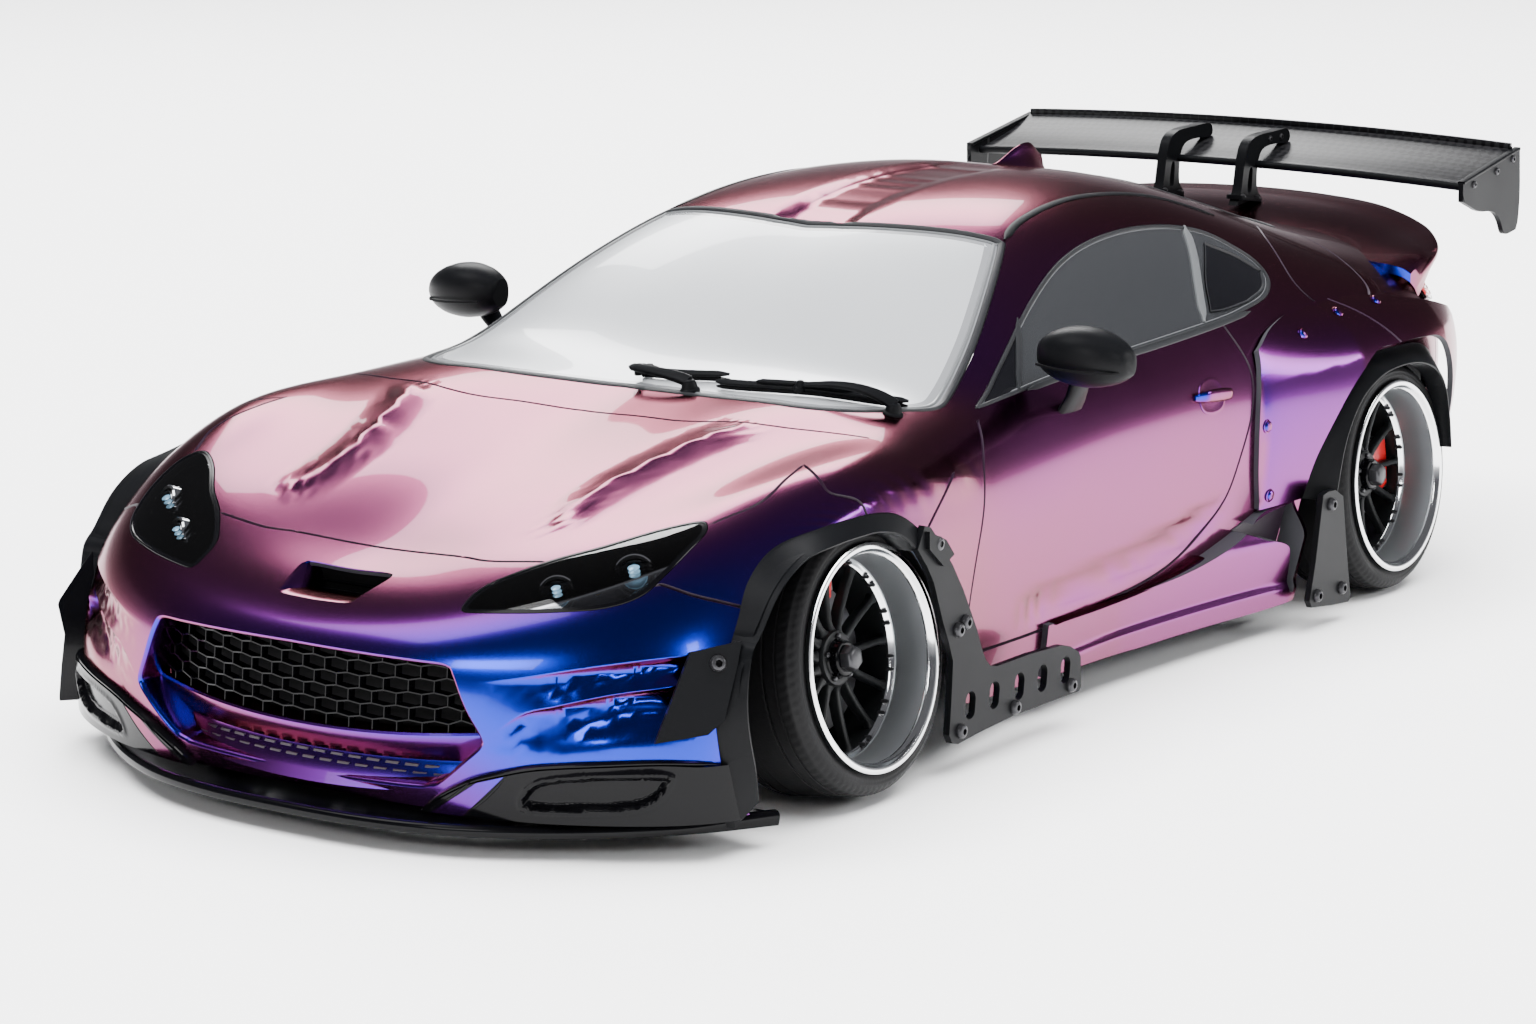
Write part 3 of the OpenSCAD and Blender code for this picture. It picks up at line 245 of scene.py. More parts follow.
class Crease:
    """Raises or sinks the skin by prof(distance, place along the line)."""

    def __init__(self, points, prof, reach):
        self.uv = pull(flow(points, step=0.8))
        self.p, self.side = sides(self.uv)
        self.prof, self.reach = prof, reach
        gone = np.concatenate([[0], np.cumsum(np.linalg.norm(np.diff(self.p, axis=0), axis=1))])
        self.t = gone / gone[-1]

    def at(self, p):
        d = np.zeros(len(p))
        lo, hi = self.p.min(0) - self.reach, self.p.max(0) + self.reach
        near = np.where(((p > lo) & (p < hi)).all(1))[0]
        for k in range(0, len(near), 4000):
            ids = near[k : k + 4000]
            gap = p[ids, None] - self.p[None]
            i = (gap**2).sum(2).argmin(1)
            g = gap[np.arange(len(ids)), i]
            s = (g * self.side[i]).sum(1)
            off = np.sqrt(np.maximum((g**2).sum(1) - s * s, 0))
            d[ids] = self.prof(s, self.t[i]) * smooth(1 - off / 3) * (np.abs(s) < self.reach)
        return d


CREASES = []


def raised(p):
    return sum((c.at(p) for c in CREASES), np.zeros(len(p)))


def place(u, v, lift=0.0):
    p, n = surf(u, v), outward(u, v)
    return p + n * (raised(p) + lift)[:, None]


def true_normals(u, v, lift=None, h=0.012):
    f = (lambda a, b: place(a, b, lift(a, b))) if lift else place
    return unit(np.cross(f(u + h, v) - f(u - h, v), f(u, v + h) - f(u, v - h)))


def inside(uv, poly):
    x, y = uv[:, 0], uv[:, 1]
    hit = np.zeros(len(uv), bool)
    x0, y0 = poly[:, 0], poly[:, 1]
    x1, y1 = np.roll(x0, -1), np.roll(y0, -1)
    for a, b, c, d in zip(x0, y0, x1, y1):
        if b != d:
            hit ^= ((b > y) != (d > y)) & (x < (c - a) * (y - b) / (d - b) + a)
    return hit


def to_centre(line):
    """A half outline that meets the centre line, closed beyond it."""
    return np.concatenate([line, [[line[-1, 0], NV + 1], [line[0, 0], NV + 1]]])


def lay(lines, box=(0, NU, 0, NV), du=0.14, dv=0.15, centres=()):
    """Triangles over the skin's parameters along every line: (uv, triangles, on a centre line)."""
    pts, edges, mark = [], [], []
    for line, closed in list(lines) + [(c, False) for c in centres]:
        base = len(pts)
        pts += [tuple(q) for q in line]
        edges += [(base + k, base + k + 1) for k in range(len(line) - 1)]
        if closed:
            edges.append((base + len(line) - 1, base))
    first_centre = len(pts) - sum(len(c) for c in centres)
    mark = [k >= first_centre for k in range(len(pts))]
    u0, u1, v0, v1 = box
    gu = np.linspace(u0, u1, int(round((u1 - u0) / du)) + 1)
    gv = np.linspace(v0, v1, int(round((v1 - v0) / dv)) + 1)
    g = np.stack([a.ravel() for a in np.meshgrid(gu, gv, indexing="ij")], 1)
    if pts:
        q = np.array(pts)
        far = np.ones(len(g), bool)
        edge = (g[:, 0] < u0 + 1e-6) | (g[:, 0] > u1 - 1e-6) | (g[:, 1] < v0 + 1e-6) | (g[:, 1] > v1 - 1e-6)
        for k in range(0, len(g), 1000):
            d = np.abs(g[k : k + 1000, None] - q[None])
            near = (np.hypot(d[..., 0], d[..., 1]) < 0.045).any(1)
            far[k : k + 1000] = ~near
        g = g[far | edge]
    co = [Vector((a * 10, b * 10)) for a, b in pts] + [Vector((a * 10, b * 10)) for a, b in g]
    vo, _, fo, ov, _, _ = delaunay_2d_cdt(co, edges, [], 0, 1e-4)
    uv = np.array([tuple(a) for a in vo]) / 10
    uv[:, 1] = np.where(uv[:, 1] > NV - 1e-4, NV, uv[:, 1])
    tri = np.array([f for f in fo if len(f) == 3])
    p = surf(uv[:, 0], uv[:, 1])
    area = np.linalg.norm(np.cross(p[tri[:, 1]] - p[tri[:, 0]], p[tri[:, 2]] - p[tri[:, 0]]), axis=1)
    tri = tri[area > 1e-5]
    a, b, c = uv[tri[:, 0]], uv[tri[:, 1]], uv[tri[:, 2]]
    turn = (b[:, 0] - a[:, 0]) * (c[:, 1] - a[:, 1]) - (b[:, 1] - a[:, 1]) * (c[:, 0] - a[:, 0])
    tri[turn < 0] = tri[turn < 0][:, ::-1]
    on = np.array([any(k < len(mark) and mark[k] for k in src) for src in ov])
    return uv, tri, on


# ---------------------------------------------------------------- mesh building
class Mesh:
    """Gathers points, faces, face materials and corner normals, then makes one Blender object."""

    def __init__(self):
        self.v, self.f, self.m, self.n = [], [], [], []

    def add(self, verts, faces, mat=0, normals=None):
        base = len(self.v)
        self.v += [tuple(p) for p in verts]
        self.f += [tuple(base + int(k) for k in f) for f in faces]
        self.m += list(mat) if hasattr(mat, "__len__") else [mat] * len(faces)
        if normals is None:
            self.n += [None] * len(faces)
        else:
            self.n += list(normals)
        return self

    def mirror(self):
        base, count = len(self.v), len(self.f)
        self.v += [(-x, y, z) for x, y, z in self.v]
        for k in range(count):
            self.f.append(tuple(base + i for i in reversed(self.f[k])))
            self.m.append(self.m[k])
            n = self.n[k]
            self.n.append(None if n is None else [(-a, b, c) for a, b, c in reversed(n)])
        return self

    def build(self, name, mats, body="shell", nodes=(), slot=None, sharp=32, bevel=0, segments=2, weld=True):
        me = bpy.data.meshes.new(name)
        me.from_pydata([tuple(p) for p in (np.array(self.v) + SHIFT) / 1000], [], self.f)
        for m in mats:
            me.materials.append(m)
        me.polygons.foreach_set("material_index", self.m)
        me.polygons.foreach_set("use_smooth", [True] * len(me.polygons))
        ob = bpy.data.objects.new(name, me)
        bpy.context.scene.collection.objects.link(ob)
        if any(n is not None for n in self.n):
            me.update()
            flat = [tuple(p.normal) for p in me.polygons]
            loops = []
            for f, n, g in zip(self.f, self.n, flat):
                loops += [tuple(a) for a in n] if n is not None else [g] * len(f)
            me.normals_split_custom_set(loops)
        else:
            if weld:
                import bmesh

                bm = bmesh.new()
                bm.from_mesh(me)
                bmesh.ops.remove_doubles(bm, verts=bm.verts, dist=1e-6)
                bmesh.ops.recalc_face_normals(bm, faces=bm.faces)
                bm.to_mesh(me)
                bm.free()
            me.set_sharp_from_angle(angle=rad(sharp))
        if bevel:
            b = ob.modifiers.new("edge", "BEVEL")
            b.width, b.segments, b.limit_method, b.angle_limit = bevel / 1000, segments, "ANGLE", rad(30)
            b.harden_normals = True
        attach(ob, body)
        if nodes:
            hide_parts(*nodes)
        return ob


def strip(loops, closed=True):
    """Quads between successive loops of equal length."""
    n = len(loops[0])
    faces = []
    for k in range(len(loops) - 1):
        for i in range(n if closed else n - 1):
            j = (i + 1) % n
            faces.append((k * n + i, k * n + j, (k + 1) * n + j, (k + 1) * n + i))
    return np.concatenate(loops), faces


def skin_mesh(uv, tri, thick=1.2, lift=None, sink=None, mat=0, inner=1, mesh=None, flat=None):
    """Both faces and the cut edges of a piece of skin, with exact normals outside."""
    used, tri = np.unique(tri, return_inverse=True)
    tri = tri.reshape(-1, 3)
    u, v = uv[used, 0], uv[used, 1]
    d = np.zeros(len(u)) if lift is None else lift(u, v)
    outer = place(u, v, d if sink is None else d - sink[used])
    nrm = true_normals(u, v, lift)
    under = place(u, v, d - thick)
    seam = v > NV - 1e-6
    for a in (outer, under):
        a[seam, 0] = 0
    nrm[seam, 0] = 0
    nrm = unit(nrm)
    mesh = mesh or Mesh()
    shade = [None if (flat is not None and flat[k]) else nrm[t] for k, t in enumerate(tri)]
    mesh.add(outer, tri, mat, shade)
    mesh.add(under, tri[:, ::-1], inner, [-nrm[t] for t in tri[:, ::-1]])
    e = np.concatenate([tri[:, [0, 1]], tri[:, [1, 2]], tri[:, [2, 0]]])
    have = {(a, b) for a, b in e.tolist()}
    rim = [(a, b) for a, b in e.tolist() if (b, a) not in have and not (seam[a] and seam[b])]
    if rim:
        ids = np.unique(np.array(rim))
        at = {k: i for i, k in enumerate(ids)}
        both = np.concatenate([outer[ids], under[ids]])
        m = len(ids)
        mesh.add(both, [(at[b], at[a], m + at[a], m + at[b]) for a, b in rim], inner)
    return mesh


# ---------------------------------------------------------------- materials
def shader(name, base, rough=0.4, metal=0.0, coat=0.0, coat_rough=0.03, spec=0.5, **more):
    m = bpy.data.materials.new(name)
    m.use_nodes = True
    s = m.node_tree.nodes["Principled BSDF"]
    s.inputs["Base Color"].default_value = (*base, 1)
    s.inputs["Roughness"].default_value = rough
    s.inputs["Metallic"].default_value = metal
    s.inputs["Coat Weight"].default_value = coat
    s.inputs["Coat Roughness"].default_value = coat_rough
    s.inputs["Specular IOR Level"].default_value = spec
    for k, val in more.items():
        s.inputs[k.replace("_", " ")].default_value = val
    return m, m.node_tree, s


def node(tree, kind, **values):
    n = tree.nodes.new(kind)
    for k, val in values.items():
        if k in n.inputs:
            n.inputs[k].default_value = val
        else:
            setattr(n, k, val)
    return n


def texture(tree, kind, scale, **values):
    """A texture in the piece's own metres, so that its grain has a real size."""
    c = node(tree, "ShaderNodeTexCoord")
    t = node(tree, kind, **values)
    t.inputs["Scale"].default_value = scale
    tree.links.new(c.outputs["Object"], t.inputs["Vector"])
    return t


def grain(tree, s, scale, strength, distance=0.0002, detail=3.0):
    t = texture(tree, "ShaderNodeTexNoise", scale, Detail=detail)
    b = node(tree, "ShaderNodeBump", Strength=strength, Distance=distance)
    tree.links.new(t.outputs["Fac"], b.inputs["Height"])
    tree.links.new(b.outputs["Normal"], s.inputs["Normal"])
    return t


def vary(tree, s, socket, scale, low, high, kind="ShaderNodeTexNoise", out="Fac"):
    t = texture(tree, kind, scale)
    r = node(tree, "ShaderNodeMapRange")
    r.inputs["To Min"].default_value, r.inputs["To Max"].default_value = low, high
    tree.links.new(t.outputs[out], r.inputs["Value"])
    tree.links.new(r.outputs["Result"], s.inputs[socket])


def ramp(tree, source, stops, interpolation="EASE"):
    r = node(tree, "ShaderNodeValToRGB")
    r.color_ramp.interpolation = interpolation
    els = r.color_ramp.elements
    while len(els) < len(stops):
        els.new(0.5)
    for e, (at, col) in zip(els, stops):
        e.position, e.color = at, (*col, 1)
    tree.links.new(source, r.inputs["Fac"])
    return r


def shift_paint():
    m, t, s = shader("shift_paint", (0.3, 0.1, 0.3), 0.24, 1.0, 0.22, 0.02)
    s.inputs["Specular Tint"].default_value = (0.86, 0.62, 0.68, 1)
    face = node(t, "ShaderNodeLayerWeight", Blend=0.5)
    r = ramp(t, face.outputs["Facing"], PAINT, "B_SPLINE")
    flake = texture(t, "ShaderNodeTexVoronoi", 5200)
    tint = node(t, "ShaderNodeMix", data_type="RGBA", blend_type="OVERLAY")
    tint.inputs["Factor"].default_value = 0.04
    t.links.new(r.outputs["Color"], tint.inputs["A"])
    t.links.new(flake.outputs["Color"], tint.inputs["B"])
    t.links.new(tint.outputs["Result"], s.inputs["Base Color"])
    vary(t, s, "Roughness", 60, 0.2, 0.23)
    return m


PAINT = [
    (0.0, (0.003, 0.018, 0.32)),
    (0.09, (0.006, 0.026, 0.40)),
    (0.19, (0.060, 0.014, 0.28)),
    (0.34, (0.16, 0.024, 0.22)),
    (0.50, (0.20, 0.046, 0.135)),
    (0.66, (0.17, 0.042, 0.058)),
    (0.84, (0.095, 0.026, 0.018)),
    (1.0, (0.055, 0.018, 0.012)),
]


def make_materials():
    m = {}
    m["paint"] = shift_paint()
    a, t, s = shader("paint_back", (0.03, 0.03, 0.035), 0.55)
    grain(t, s, 900, 0.15)
    m["back"] = a
    # painted shade: near-black standing in for the shade in shut-line grooves, lip slots, the quarter seam
    # and the skirt intake
    a, t, s = shader("shut_line_painted_shade", (0.012, 0.004, 0.012), 0.5)
    m["line"] = a
    a, t, s = shader("gloss_black", (0.0015, 0.0015, 0.002), 0.14, 0, 0.05, 0.03, 0.1)
    vary(t, s, "Roughness", 60, 0.12, 0.2)
    m["gloss"] = a
    a, t, s = shader("satin_black", (0.003, 0.0032, 0.0038), 0.36, 0, 0.0, 0.3, 0.09)
    grain(t, s, 2600, 0.12, 0.0001)
    vary(t, s, "Roughness", 45, 0.36, 0.48)
    m["satin"] = a
    a, t, s = shader("matte_black", (0.003, 0.003, 0.0035), 0.7, spec=0.1)
    grain(t, s, 1800, 0.2, 0.0001)
    m["matte"] = a
    a, t, s = shader("seal_rubber", (0.012, 0.0125, 0.014), 0.45, spec=0.25)
    grain(t, s, 1500, 0.1)
    m["seal"] = a
    # pale grey, opaque and partly metallic: painted reflection of the bright sky on the clear windscreen
    a, t, s = shader("screen_glass_painted_reflection", (0.40, 0.415, 0.435), 0.3, 0.35, 0.35, 0.02)
    vary(t, s, "Roughness", 18, 0.26, 0.36)
    m["screen"] = a
    a, t, s = shader("screen_frit", (0.16, 0.165, 0.175), 0.2, 0.1, 0.3, 0.02)
    m["frit"] = a
    a, t, s = shader("side_glass", (0.02, 0.021, 0.023), 0.05, 0.0, 0.5, 0.01, 0.4)
    vary(t, s, "Roughness", 25, 0.03, 0.09)
    m["side"] = a
    a, t, s = shader("dark_glass", (0.003, 0.003, 0.004), 0.06, 0.0, 0.3, 0.01, 0.3)
    m["dark"] = a
    a, t, s = shader("grey_trim", (0.10, 0.105, 0.11), 0.32, 0.2, 0.1, 0.1)
    m["trim"] = a
    a, t, s = shader("chrome", (0.80, 0.81, 0.83), 0.06, 1.0)
    vary(t, s, "Roughness", 200, 0.04, 0.1)
    m["chrome"] = a
    a, t, s = shader("polished_lip", (0.86, 0.87, 0.88), 0.12, 1.0)
    vary(t, s, "Roughness", 400, 0.08, 0.17)
    m["lip"] = a
    a, t, s = shader("satin_barrel", (0.30, 0.315, 0.33), 0.34, 0.85)
    vary(t, s, "Roughness", 300, 0.3, 0.42)
    m["barrel"] = a
    a, t, s = shader("wheel_black", (0.005, 0.0055, 0.006), 0.4, 0.05, spec=0.2)
    grain(t, s, 2500, 0.08, 0.0001)
    m["wheel"] = a
    a, t, s = shader("tyre_rubber", (0.004, 0.004, 0.0045), 0.5, spec=0.16)
    grain(t, s, 1600, 0.25, 0.0002)
    vary(t, s, "Roughness", 70, 0.45, 0.65)
    m["tyre"] = a
    a, t, s = shader("caliper_red", (0.55, 0.01, 0.012), 0.3, 0, 0.6)
    grain(t, s, 1200, 0.1)
    m["red"] = a
    a, t, s = shader("disc_steel", (0.10, 0.10, 0.105), 0.35, 0.9)
    vary(t, s, "Roughness", 500, 0.28, 0.45)
    m["disc"] = a
    a, t, s = shader("black_screw", (0.035, 0.035, 0.038), 0.3, 0.7)
    grain(t, s, 3000, 0.1, 0.0001)
    m["screw"] = a
    a, t, s = shader("lamp_red", (0.22, 0.006, 0.01), 0.08, 0, 1.0, 0.02)
    vary(t, s, "Roughness", 150, 0.06, 0.12)
    m["lamp_red"] = a
    m["clear"] = clear_cover()
    a, t, s = shader("projector_glass", (0.25, 0.45, 0.6), 0.03, 0.3, 1.0, 0.01)
    m["lens"] = a
    a, t, s = shader("machined_alloy", (0.52, 0.53, 0.55), 0.3, 1.0)
    grain(t, s, 1500, 0.08, 0.0001)
    m["alloy"] = a
    a, t, s = shader("gold_alloy", (0.55, 0.36, 0.07), 0.28, 1.0)
    vary(t, s, "Roughness", 300, 0.22, 0.36)
    m["gold"] = a
    a, t, s = shader("nylon", (0.03, 0.03, 0.032), 0.55)
    grain(t, s, 2200, 0.25, 0.0001)
    m["nylon"] = a
    a, t, s = shader("battery_case", (0.03, 0.07, 0.22), 0.3, 0, 0.4)
    vary(t, s, "Roughness", 60, 0.25, 0.38)
    m["battery"] = a
    a, t, s = shader("white_gear", (0.62, 0.62, 0.59), 0.45)
    grain(t, s, 900, 0.1)
    m["gear"] = a
    a, t, s = shader("brass_gear", (0.55, 0.42, 0.18), 0.3, 1.0)
    vary(t, s, "Roughness", 400, 0.25, 0.4)
    m["brass"] = a
    a, t, s = shader("foam", (0.03, 0.03, 0.033), 0.9)
    grain(t, s, 700, 0.8, 0.0006)
    m["foam"] = a
    m["carbon"] = carbon()
    return m


def clear_cover():
    """Thin clear plastic: see through, with a shine that grows towards the edges."""
    m = bpy.data.materials.new("lamp_glass")
    m.use_nodes = True
    t = m.node_tree
    t.nodes.remove(t.nodes["Principled BSDF"])
    see = node(t, "ShaderNodeBsdfTransparent", Color=(0.93, 0.94, 0.96, 1))
    shine = node(t, "ShaderNodeBsdfGlossy", Roughness=0.02)
    edge = node(t, "ShaderNodeFresnel", IOR=1.45)
    mix = node(t, "ShaderNodeMixShader")
    t.links.new(edge.outputs["Fac"], mix.inputs["Fac"])
    t.links.new(see.outputs["BSDF"], mix.inputs[1])
    t.links.new(shine.outputs["BSDF"], mix.inputs[2])
    t.links.new(mix.outputs["Shader"], t.nodes["Material Output"].inputs["Surface"])
    return m


def carbon():
    m, t, s = shader("carbon_plate", (0.03, 0.03, 0.032), 0.3, 0.0, 0.0, 0.05, 0.08)
    c = node(t, "ShaderNodeTexCoord")
    rot = node(t, "ShaderNodeMapping")
    rot.inputs["Rotation"].default_value = (0, 0, rad(45))
    chk = node(t, "ShaderNodeTexChecker", Scale=500.0)
    chk.inputs["Color1"].default_value = (0.003, 0.003, 0.0035, 1)
    chk.inputs["Color2"].default_value = (0.012, 0.012, 0.013, 1)
    t.links.new(c.outputs["Object"], rot.inputs["Vector"])
    t.links.new(rot.outputs["Vector"], chk.inputs["Vector"])
    t.links.new(chk.outputs["Color"], s.inputs["Base Color"])
    b = node(t, "ShaderNodeBump", Strength=0.2, Distance=0.0001)
    t.links.new(chk.outputs["Fac"], b.inputs["Height"])
    t.links.new(b.outputs["Normal"], s.inputs["Normal"])
    return m


MAT = make_materials()

# ---------------------------------------------------------------- shapes pressed into the skin
BUMPER_TOP = [(38, -215.5, 38), (53, -209, 39.6), (71, -200, 43.2), (81, -191.5, 44.5), (88, -184.5, 45)]
BUMPER_LOW = [(45.8, -213.5, 23), (56, -208.5, 32), (64, -205, 34.6), (75, -198, 37.3), (86, -189.5, 38.8)]


def below(depth, first, wide, back):
    """Sinks the skin below a line: a sharp edge at the line, easing back over a longer run."""
    return lambda s, t: -depth * smooth((t - first[0]) / first[1]) * smooth(-s / 0.9) * (1
        - smooth((-s - wide) / back))


def valley(depth, half, edge, ends=(0.12, 0.12)):
    return lambda s, t: -depth * (1 - smooth((np.abs(s) - half) / edge)) * smooth(t / ends[0]) * smooth((1
        - t) / ends[1])


def ridge(height, half, ends=(0.15, 0.15)):
    return lambda s, t: height * np.maximum(1 - np.abs(s) / half,
        0) ** 1.5 * smooth(t / ends[0]) * smooth((1 - t) / ends[1])


CREASES += [
    Crease(BUMPER_TOP, below(2.6, (0.15, 0.75), 2.5, 7), 12),
    Crease(BUMPER_LOW, below(3.2, (0.1, 0.7), 4.0, 8), 15),
    Crease([(0, -14, 112), (0, 5, 116), (0, 40, 118.5), (0, 78, 117)], valley(1.3, 8, 5, (0.02, 0.3)), 16),
    Crease([(38.5, -177, 62.5), (37.8, -153, 69.3), (40, -140, 72.8), (44.5, -124, 76.7), (51, -108, 79.8)],
    ridge(1.1, 9, (0.3, 0.2)), 11),
    Crease([(92, -165, 55), (93, -145, 66.5), (92.5, -124, 69), (91, -98, 68.4), (88.6, -72, 66)],
    ridge(0.9, 8, (0.2, 0.2)), 9),
    Crease([(88.5, -60, 29), (87.5, -20, 30), (87.8, 20, 33), (88.8, 50, 38)],
    valley(0.9, 1, 5, (0.15, 0.2)), 8),
]

# ---------------------------------------------------------------- outlines on the skin
MOUTH = [(0, -220, 43.2), (20, -219, 43.0), (34, -217, 42.8), (41, -216, 42.4), (43.2, -215, 40.2),
    (46.5, -213, 33),
         (49.6, -211, 27.2), (49.4, -211, 24.8), (46, -213, 21.5), (39, -215, 15.6), (35.5, -216, 14.2),
         (30, -217, 13.4), (0, -218, 12.2)]
SCOOP = [(0, -196, 55.6), (10.5, -196, 55.6), (12.6, -197, 55.2), (12.9, -199, 54), (11, -206, 50.2),
    (9.4, -208, 49.2),
         (0, -208.5, 49.0)]
LAMP = [(38.6, -204.7, 51.0), (37.9, -201, 53.3), (38.4, -198, 55), (40.5, -194, 57), (47.8, -185.5, 60.7),
    (56, -178, 63.4),
        (64, -169, 66.6), (70, -164, 68.2), (73.5, -163, 68), (76.2, -167, 66.8), (76.4, -174, 63.6),
        (75.4, -181.4, 59.4),
        (73.4, -187.6, 55.9), (67.3, -193.5, 53.4), (56, -199.4, 51.8), (44, -203.6, 50.6)]
SCREEN = [(0, -94, 80.7), (20, -96, 80.9), (44, -98, 81), (56, -96.5, 81), (65.5, -90, 80.4),
    (71.5, -79, 79.6), (74.4, -70.5, 79.2),
          (73.2, -62, 81.5), (68, -44, 89), (61, -25, 98.5), (54, -8, 107.4), (51, -4.4, 109.2),
          (44, -5.4, 110.6), (24.3, -9.9, 111.8),
          (0, -13.4, 111.4)]
DOOR_GLASS = [(78.8, -61, 78.4), (76.2, -52, 81.8), (73.2, -42, 86), (67, -18, 97), (62.4, 3.6, 104),
    (60.9, 25, 107.4), (61, 51, 107.4),
              (62.4, 75, 103.6), (66.6, 88, 97.4), (70.4, 93, 93), (74.6, 92, 88.8), (77.6, 84, 85.3),
              (79.2, 70, 83.8), (80, 54.5, 83),
              (80.2, 18, 82), (80.2, -6, 81.6), (80.2, -30, 80.4), (79.8, -50, 78.9)]
BACK_GLASS = [(0, 92, 113.5), (24, 91, 112.5), (39, 92, 108.5), (44, 96, 106), (47.5, 112, 101.5),
    (50, 136, 95.6), (48, 143, 94.6),
              (34, 146.5, 95.5), (0, 148, 97)]
FRONT_ARCH = [(88, -176, 4), (90, -181, 31), (93, -178.5, 43), (95, -172.5, 52), (96, -164.5, 59.5),
    (97, -155, 63.2), (97, -143, 64.6),
              (97, -130, 64.2), (96, -119, 61.8), (95, -109.5, 55.5), (94, -101, 46), (93, -95.5, 36),
              (92, -91.5, 24), (91, -90, 4)]
REAR_ARCH = [(86, 84, 4), (88, 84, 30), (91, 90, 48), (93, 97, 58.5), (94, 108, 65.6), (94, 125, 66.8),
    (93, 143, 64.2), (91, 153, 57),
             (89, 158, 46), (87, 160, 30), (84, 161, 12)]
GAPS = [
    [(0, -185.5, 57.4), (5.8, -185.7, 57.9), (23.4, -186.6, 58.8), (33, -187.7, 59), (46.2, -186.5, 60.4)],
    [(75.4, -162.8, 68.6), (79.8, -151.3, 71.8), (78, -138, 74.8), (76.3, -129.5, 75.8)],
    [(76.3, -129.5, 75.8), (84, -135, 73.6), (88.6, -137, 71.9), (91.9, -132, 69.6), (94, -130.9, 66)],
    [(75.8, -183, 58.2), (83, -179.6, 56), (90.8, -171.8, 52.8), (92.4, -169.8, 51.5)],
    [(76.1, -103.2, 77.8), (61.2, -108.3, 78.9), (53.7, -110, 79.4), (33.8, -113, 78.7), (17, -111, 78.1),
    (0, -110, 77.8)],
    [(82, -65, 76.2), (88.2, -72.4, 68.6), (90.8, -76.5, 58), (92, -81, 47), (91.5, -84.5, 35),
    (90.5, -86, 26), (89.8, -85, 20)],
    [(80.6, 56.5, 81.9), (86.9, 59.5, 71), (88.9, 57.5, 62), (89.2, 52.3, 51), (88, 45, 39), (87, 33, 31.5),
    (86.5, 13.3, 25.6),
     (86.4, -15.4, 23), (87.2, -45, 22.4), (89.2, -72, 23.6), (90.4, -84.5, 25)],
    [(54.4, 121, 98.2), (62, 112, 95.6), (73, 104, 88), (80, 104.5, 83), (85.5, 112, 77.4), (90, 118.5, 70),
    (92.8, 128, 63)],
    [(46, 150.5, 93.4), (60, 147, 90.2), (72, 142.5, 86.4), (80, 138, 81.8), (84.6, 131.5, 79.4)],
    [(0, 151, 96), (24, 150.6, 95.6), (46, 150.5, 93.4)],
    [(80.5, 176, 71.5), (83.5, 171, 62), (85, 167, 52), (84.5, 164, 42)],
    [(89.6, -90, 68), (92.5, -105, 60), (93.5, -112, 56)],
]


def outline(points, closed=True, along=None, step=1.2):
    return pull(flow(points, closed, step), along)


def inset(line, by, closed=True):
    """The outline moved by a distance in the skin, towards its own inside."""
    p, side = sides(line, closed)
    moved = pull(p + side * by)
    poly = line if closed else to_centre(line)
    if inside(moved, poly).mean() < 0.5:
        moved = pull(p - side * by)
    moved[np.abs(p[:, 0]) < 0.05, 1] = NV
    return moved


def shell():
    half = {"mouth": outline(MOUTH, False, "y"), "scoop": outline(SCOOP, False),
        "screen": outline(SCREEN, False), "back": outline(BACK_GLASS, False)}
    full = {"lamp": outline(LAMP), "door": outline(DOOR_GLASS), "front": outline(FRONT_ARCH, False),
        "rear": outline(REAR_ARCH, False)}
    full = {k: outline(p, True) if k in ("lamp", "door") else full[k] for k,
        p in (("lamp", LAMP), ("door", DOOR_GLASS), ("front", 0), ("rear", 0))}
    for k in ("front", "rear"):
        full[k] = np.concatenate([[[full[k][0, 0], -0.5]], full[k], [[full[k][-1, 0], -0.5]]])
    lines = [(c, False) for c in half.values()] + [(full["lamp"], True), (full["door"], True)]
    for k in ("front", "rear"):
        cut = full[k][1:-1]
        lines.append((np.concatenate([[[cut[0, 0], 0]], cut, [[cut[-1, 0], 0]]]), False))
    centres = []
    for g in GAPS:
        c = outline(g, False, step=1.0)
        p, side = sides(c)
        centres.append(c)
        for w in (-0.42, 0.42):
            o = pull(p + side * w)
            o[c[:, 1] > NV - 1e-6, 1] = NV
            lines.append((o, False))
    for c in CREASES[:2]:
        for w in (-0.8, -0.3, 0.2):
            lines.append((pull(c.p + c.side * w)[::2], False))
    uv, tri, on = lay(lines, centres=centres)
    mid = uv[tri].mean(1)
    out = np.zeros(len(tri), bool)
    for c in half.values():
        out |= inside(mid, to_centre(c))
    for c in full.values():
        out |= inside(mid, c)
    # keep only the triangles outside the openings
    tri = tri[~out]
    # triangles on a shut line are sunk and take the near-black colour: painted shade in the grooves
    gap = on[tri].any(1)
    mats = np.where(gap, 2, 0)
    body = skin_mesh(uv, tri, 1.2, sink=on * 0.75, mat=mats.tolist(), inner=1, flat=gap)
    return body, half, full


body, HALF, FULL = shell()


def tunnel(mesh, line, into, steps, closed=False, mat=0):
    """A smooth return from an opening's edge: each step is (inset, depth along into)."""
    loops = []
    for by, deep in steps:
        l = inset(line, by, closed) if by else line
        p = place(l[:, 0], l[:, 1]) + np.array(into) * deep
        if not closed:
            p[0, 0] = p[-1, 0] = 0
        loops.append(p)
    v, f = strip(loops, closed)
    mesh.add(v, f, mat)
    return loops[-1]


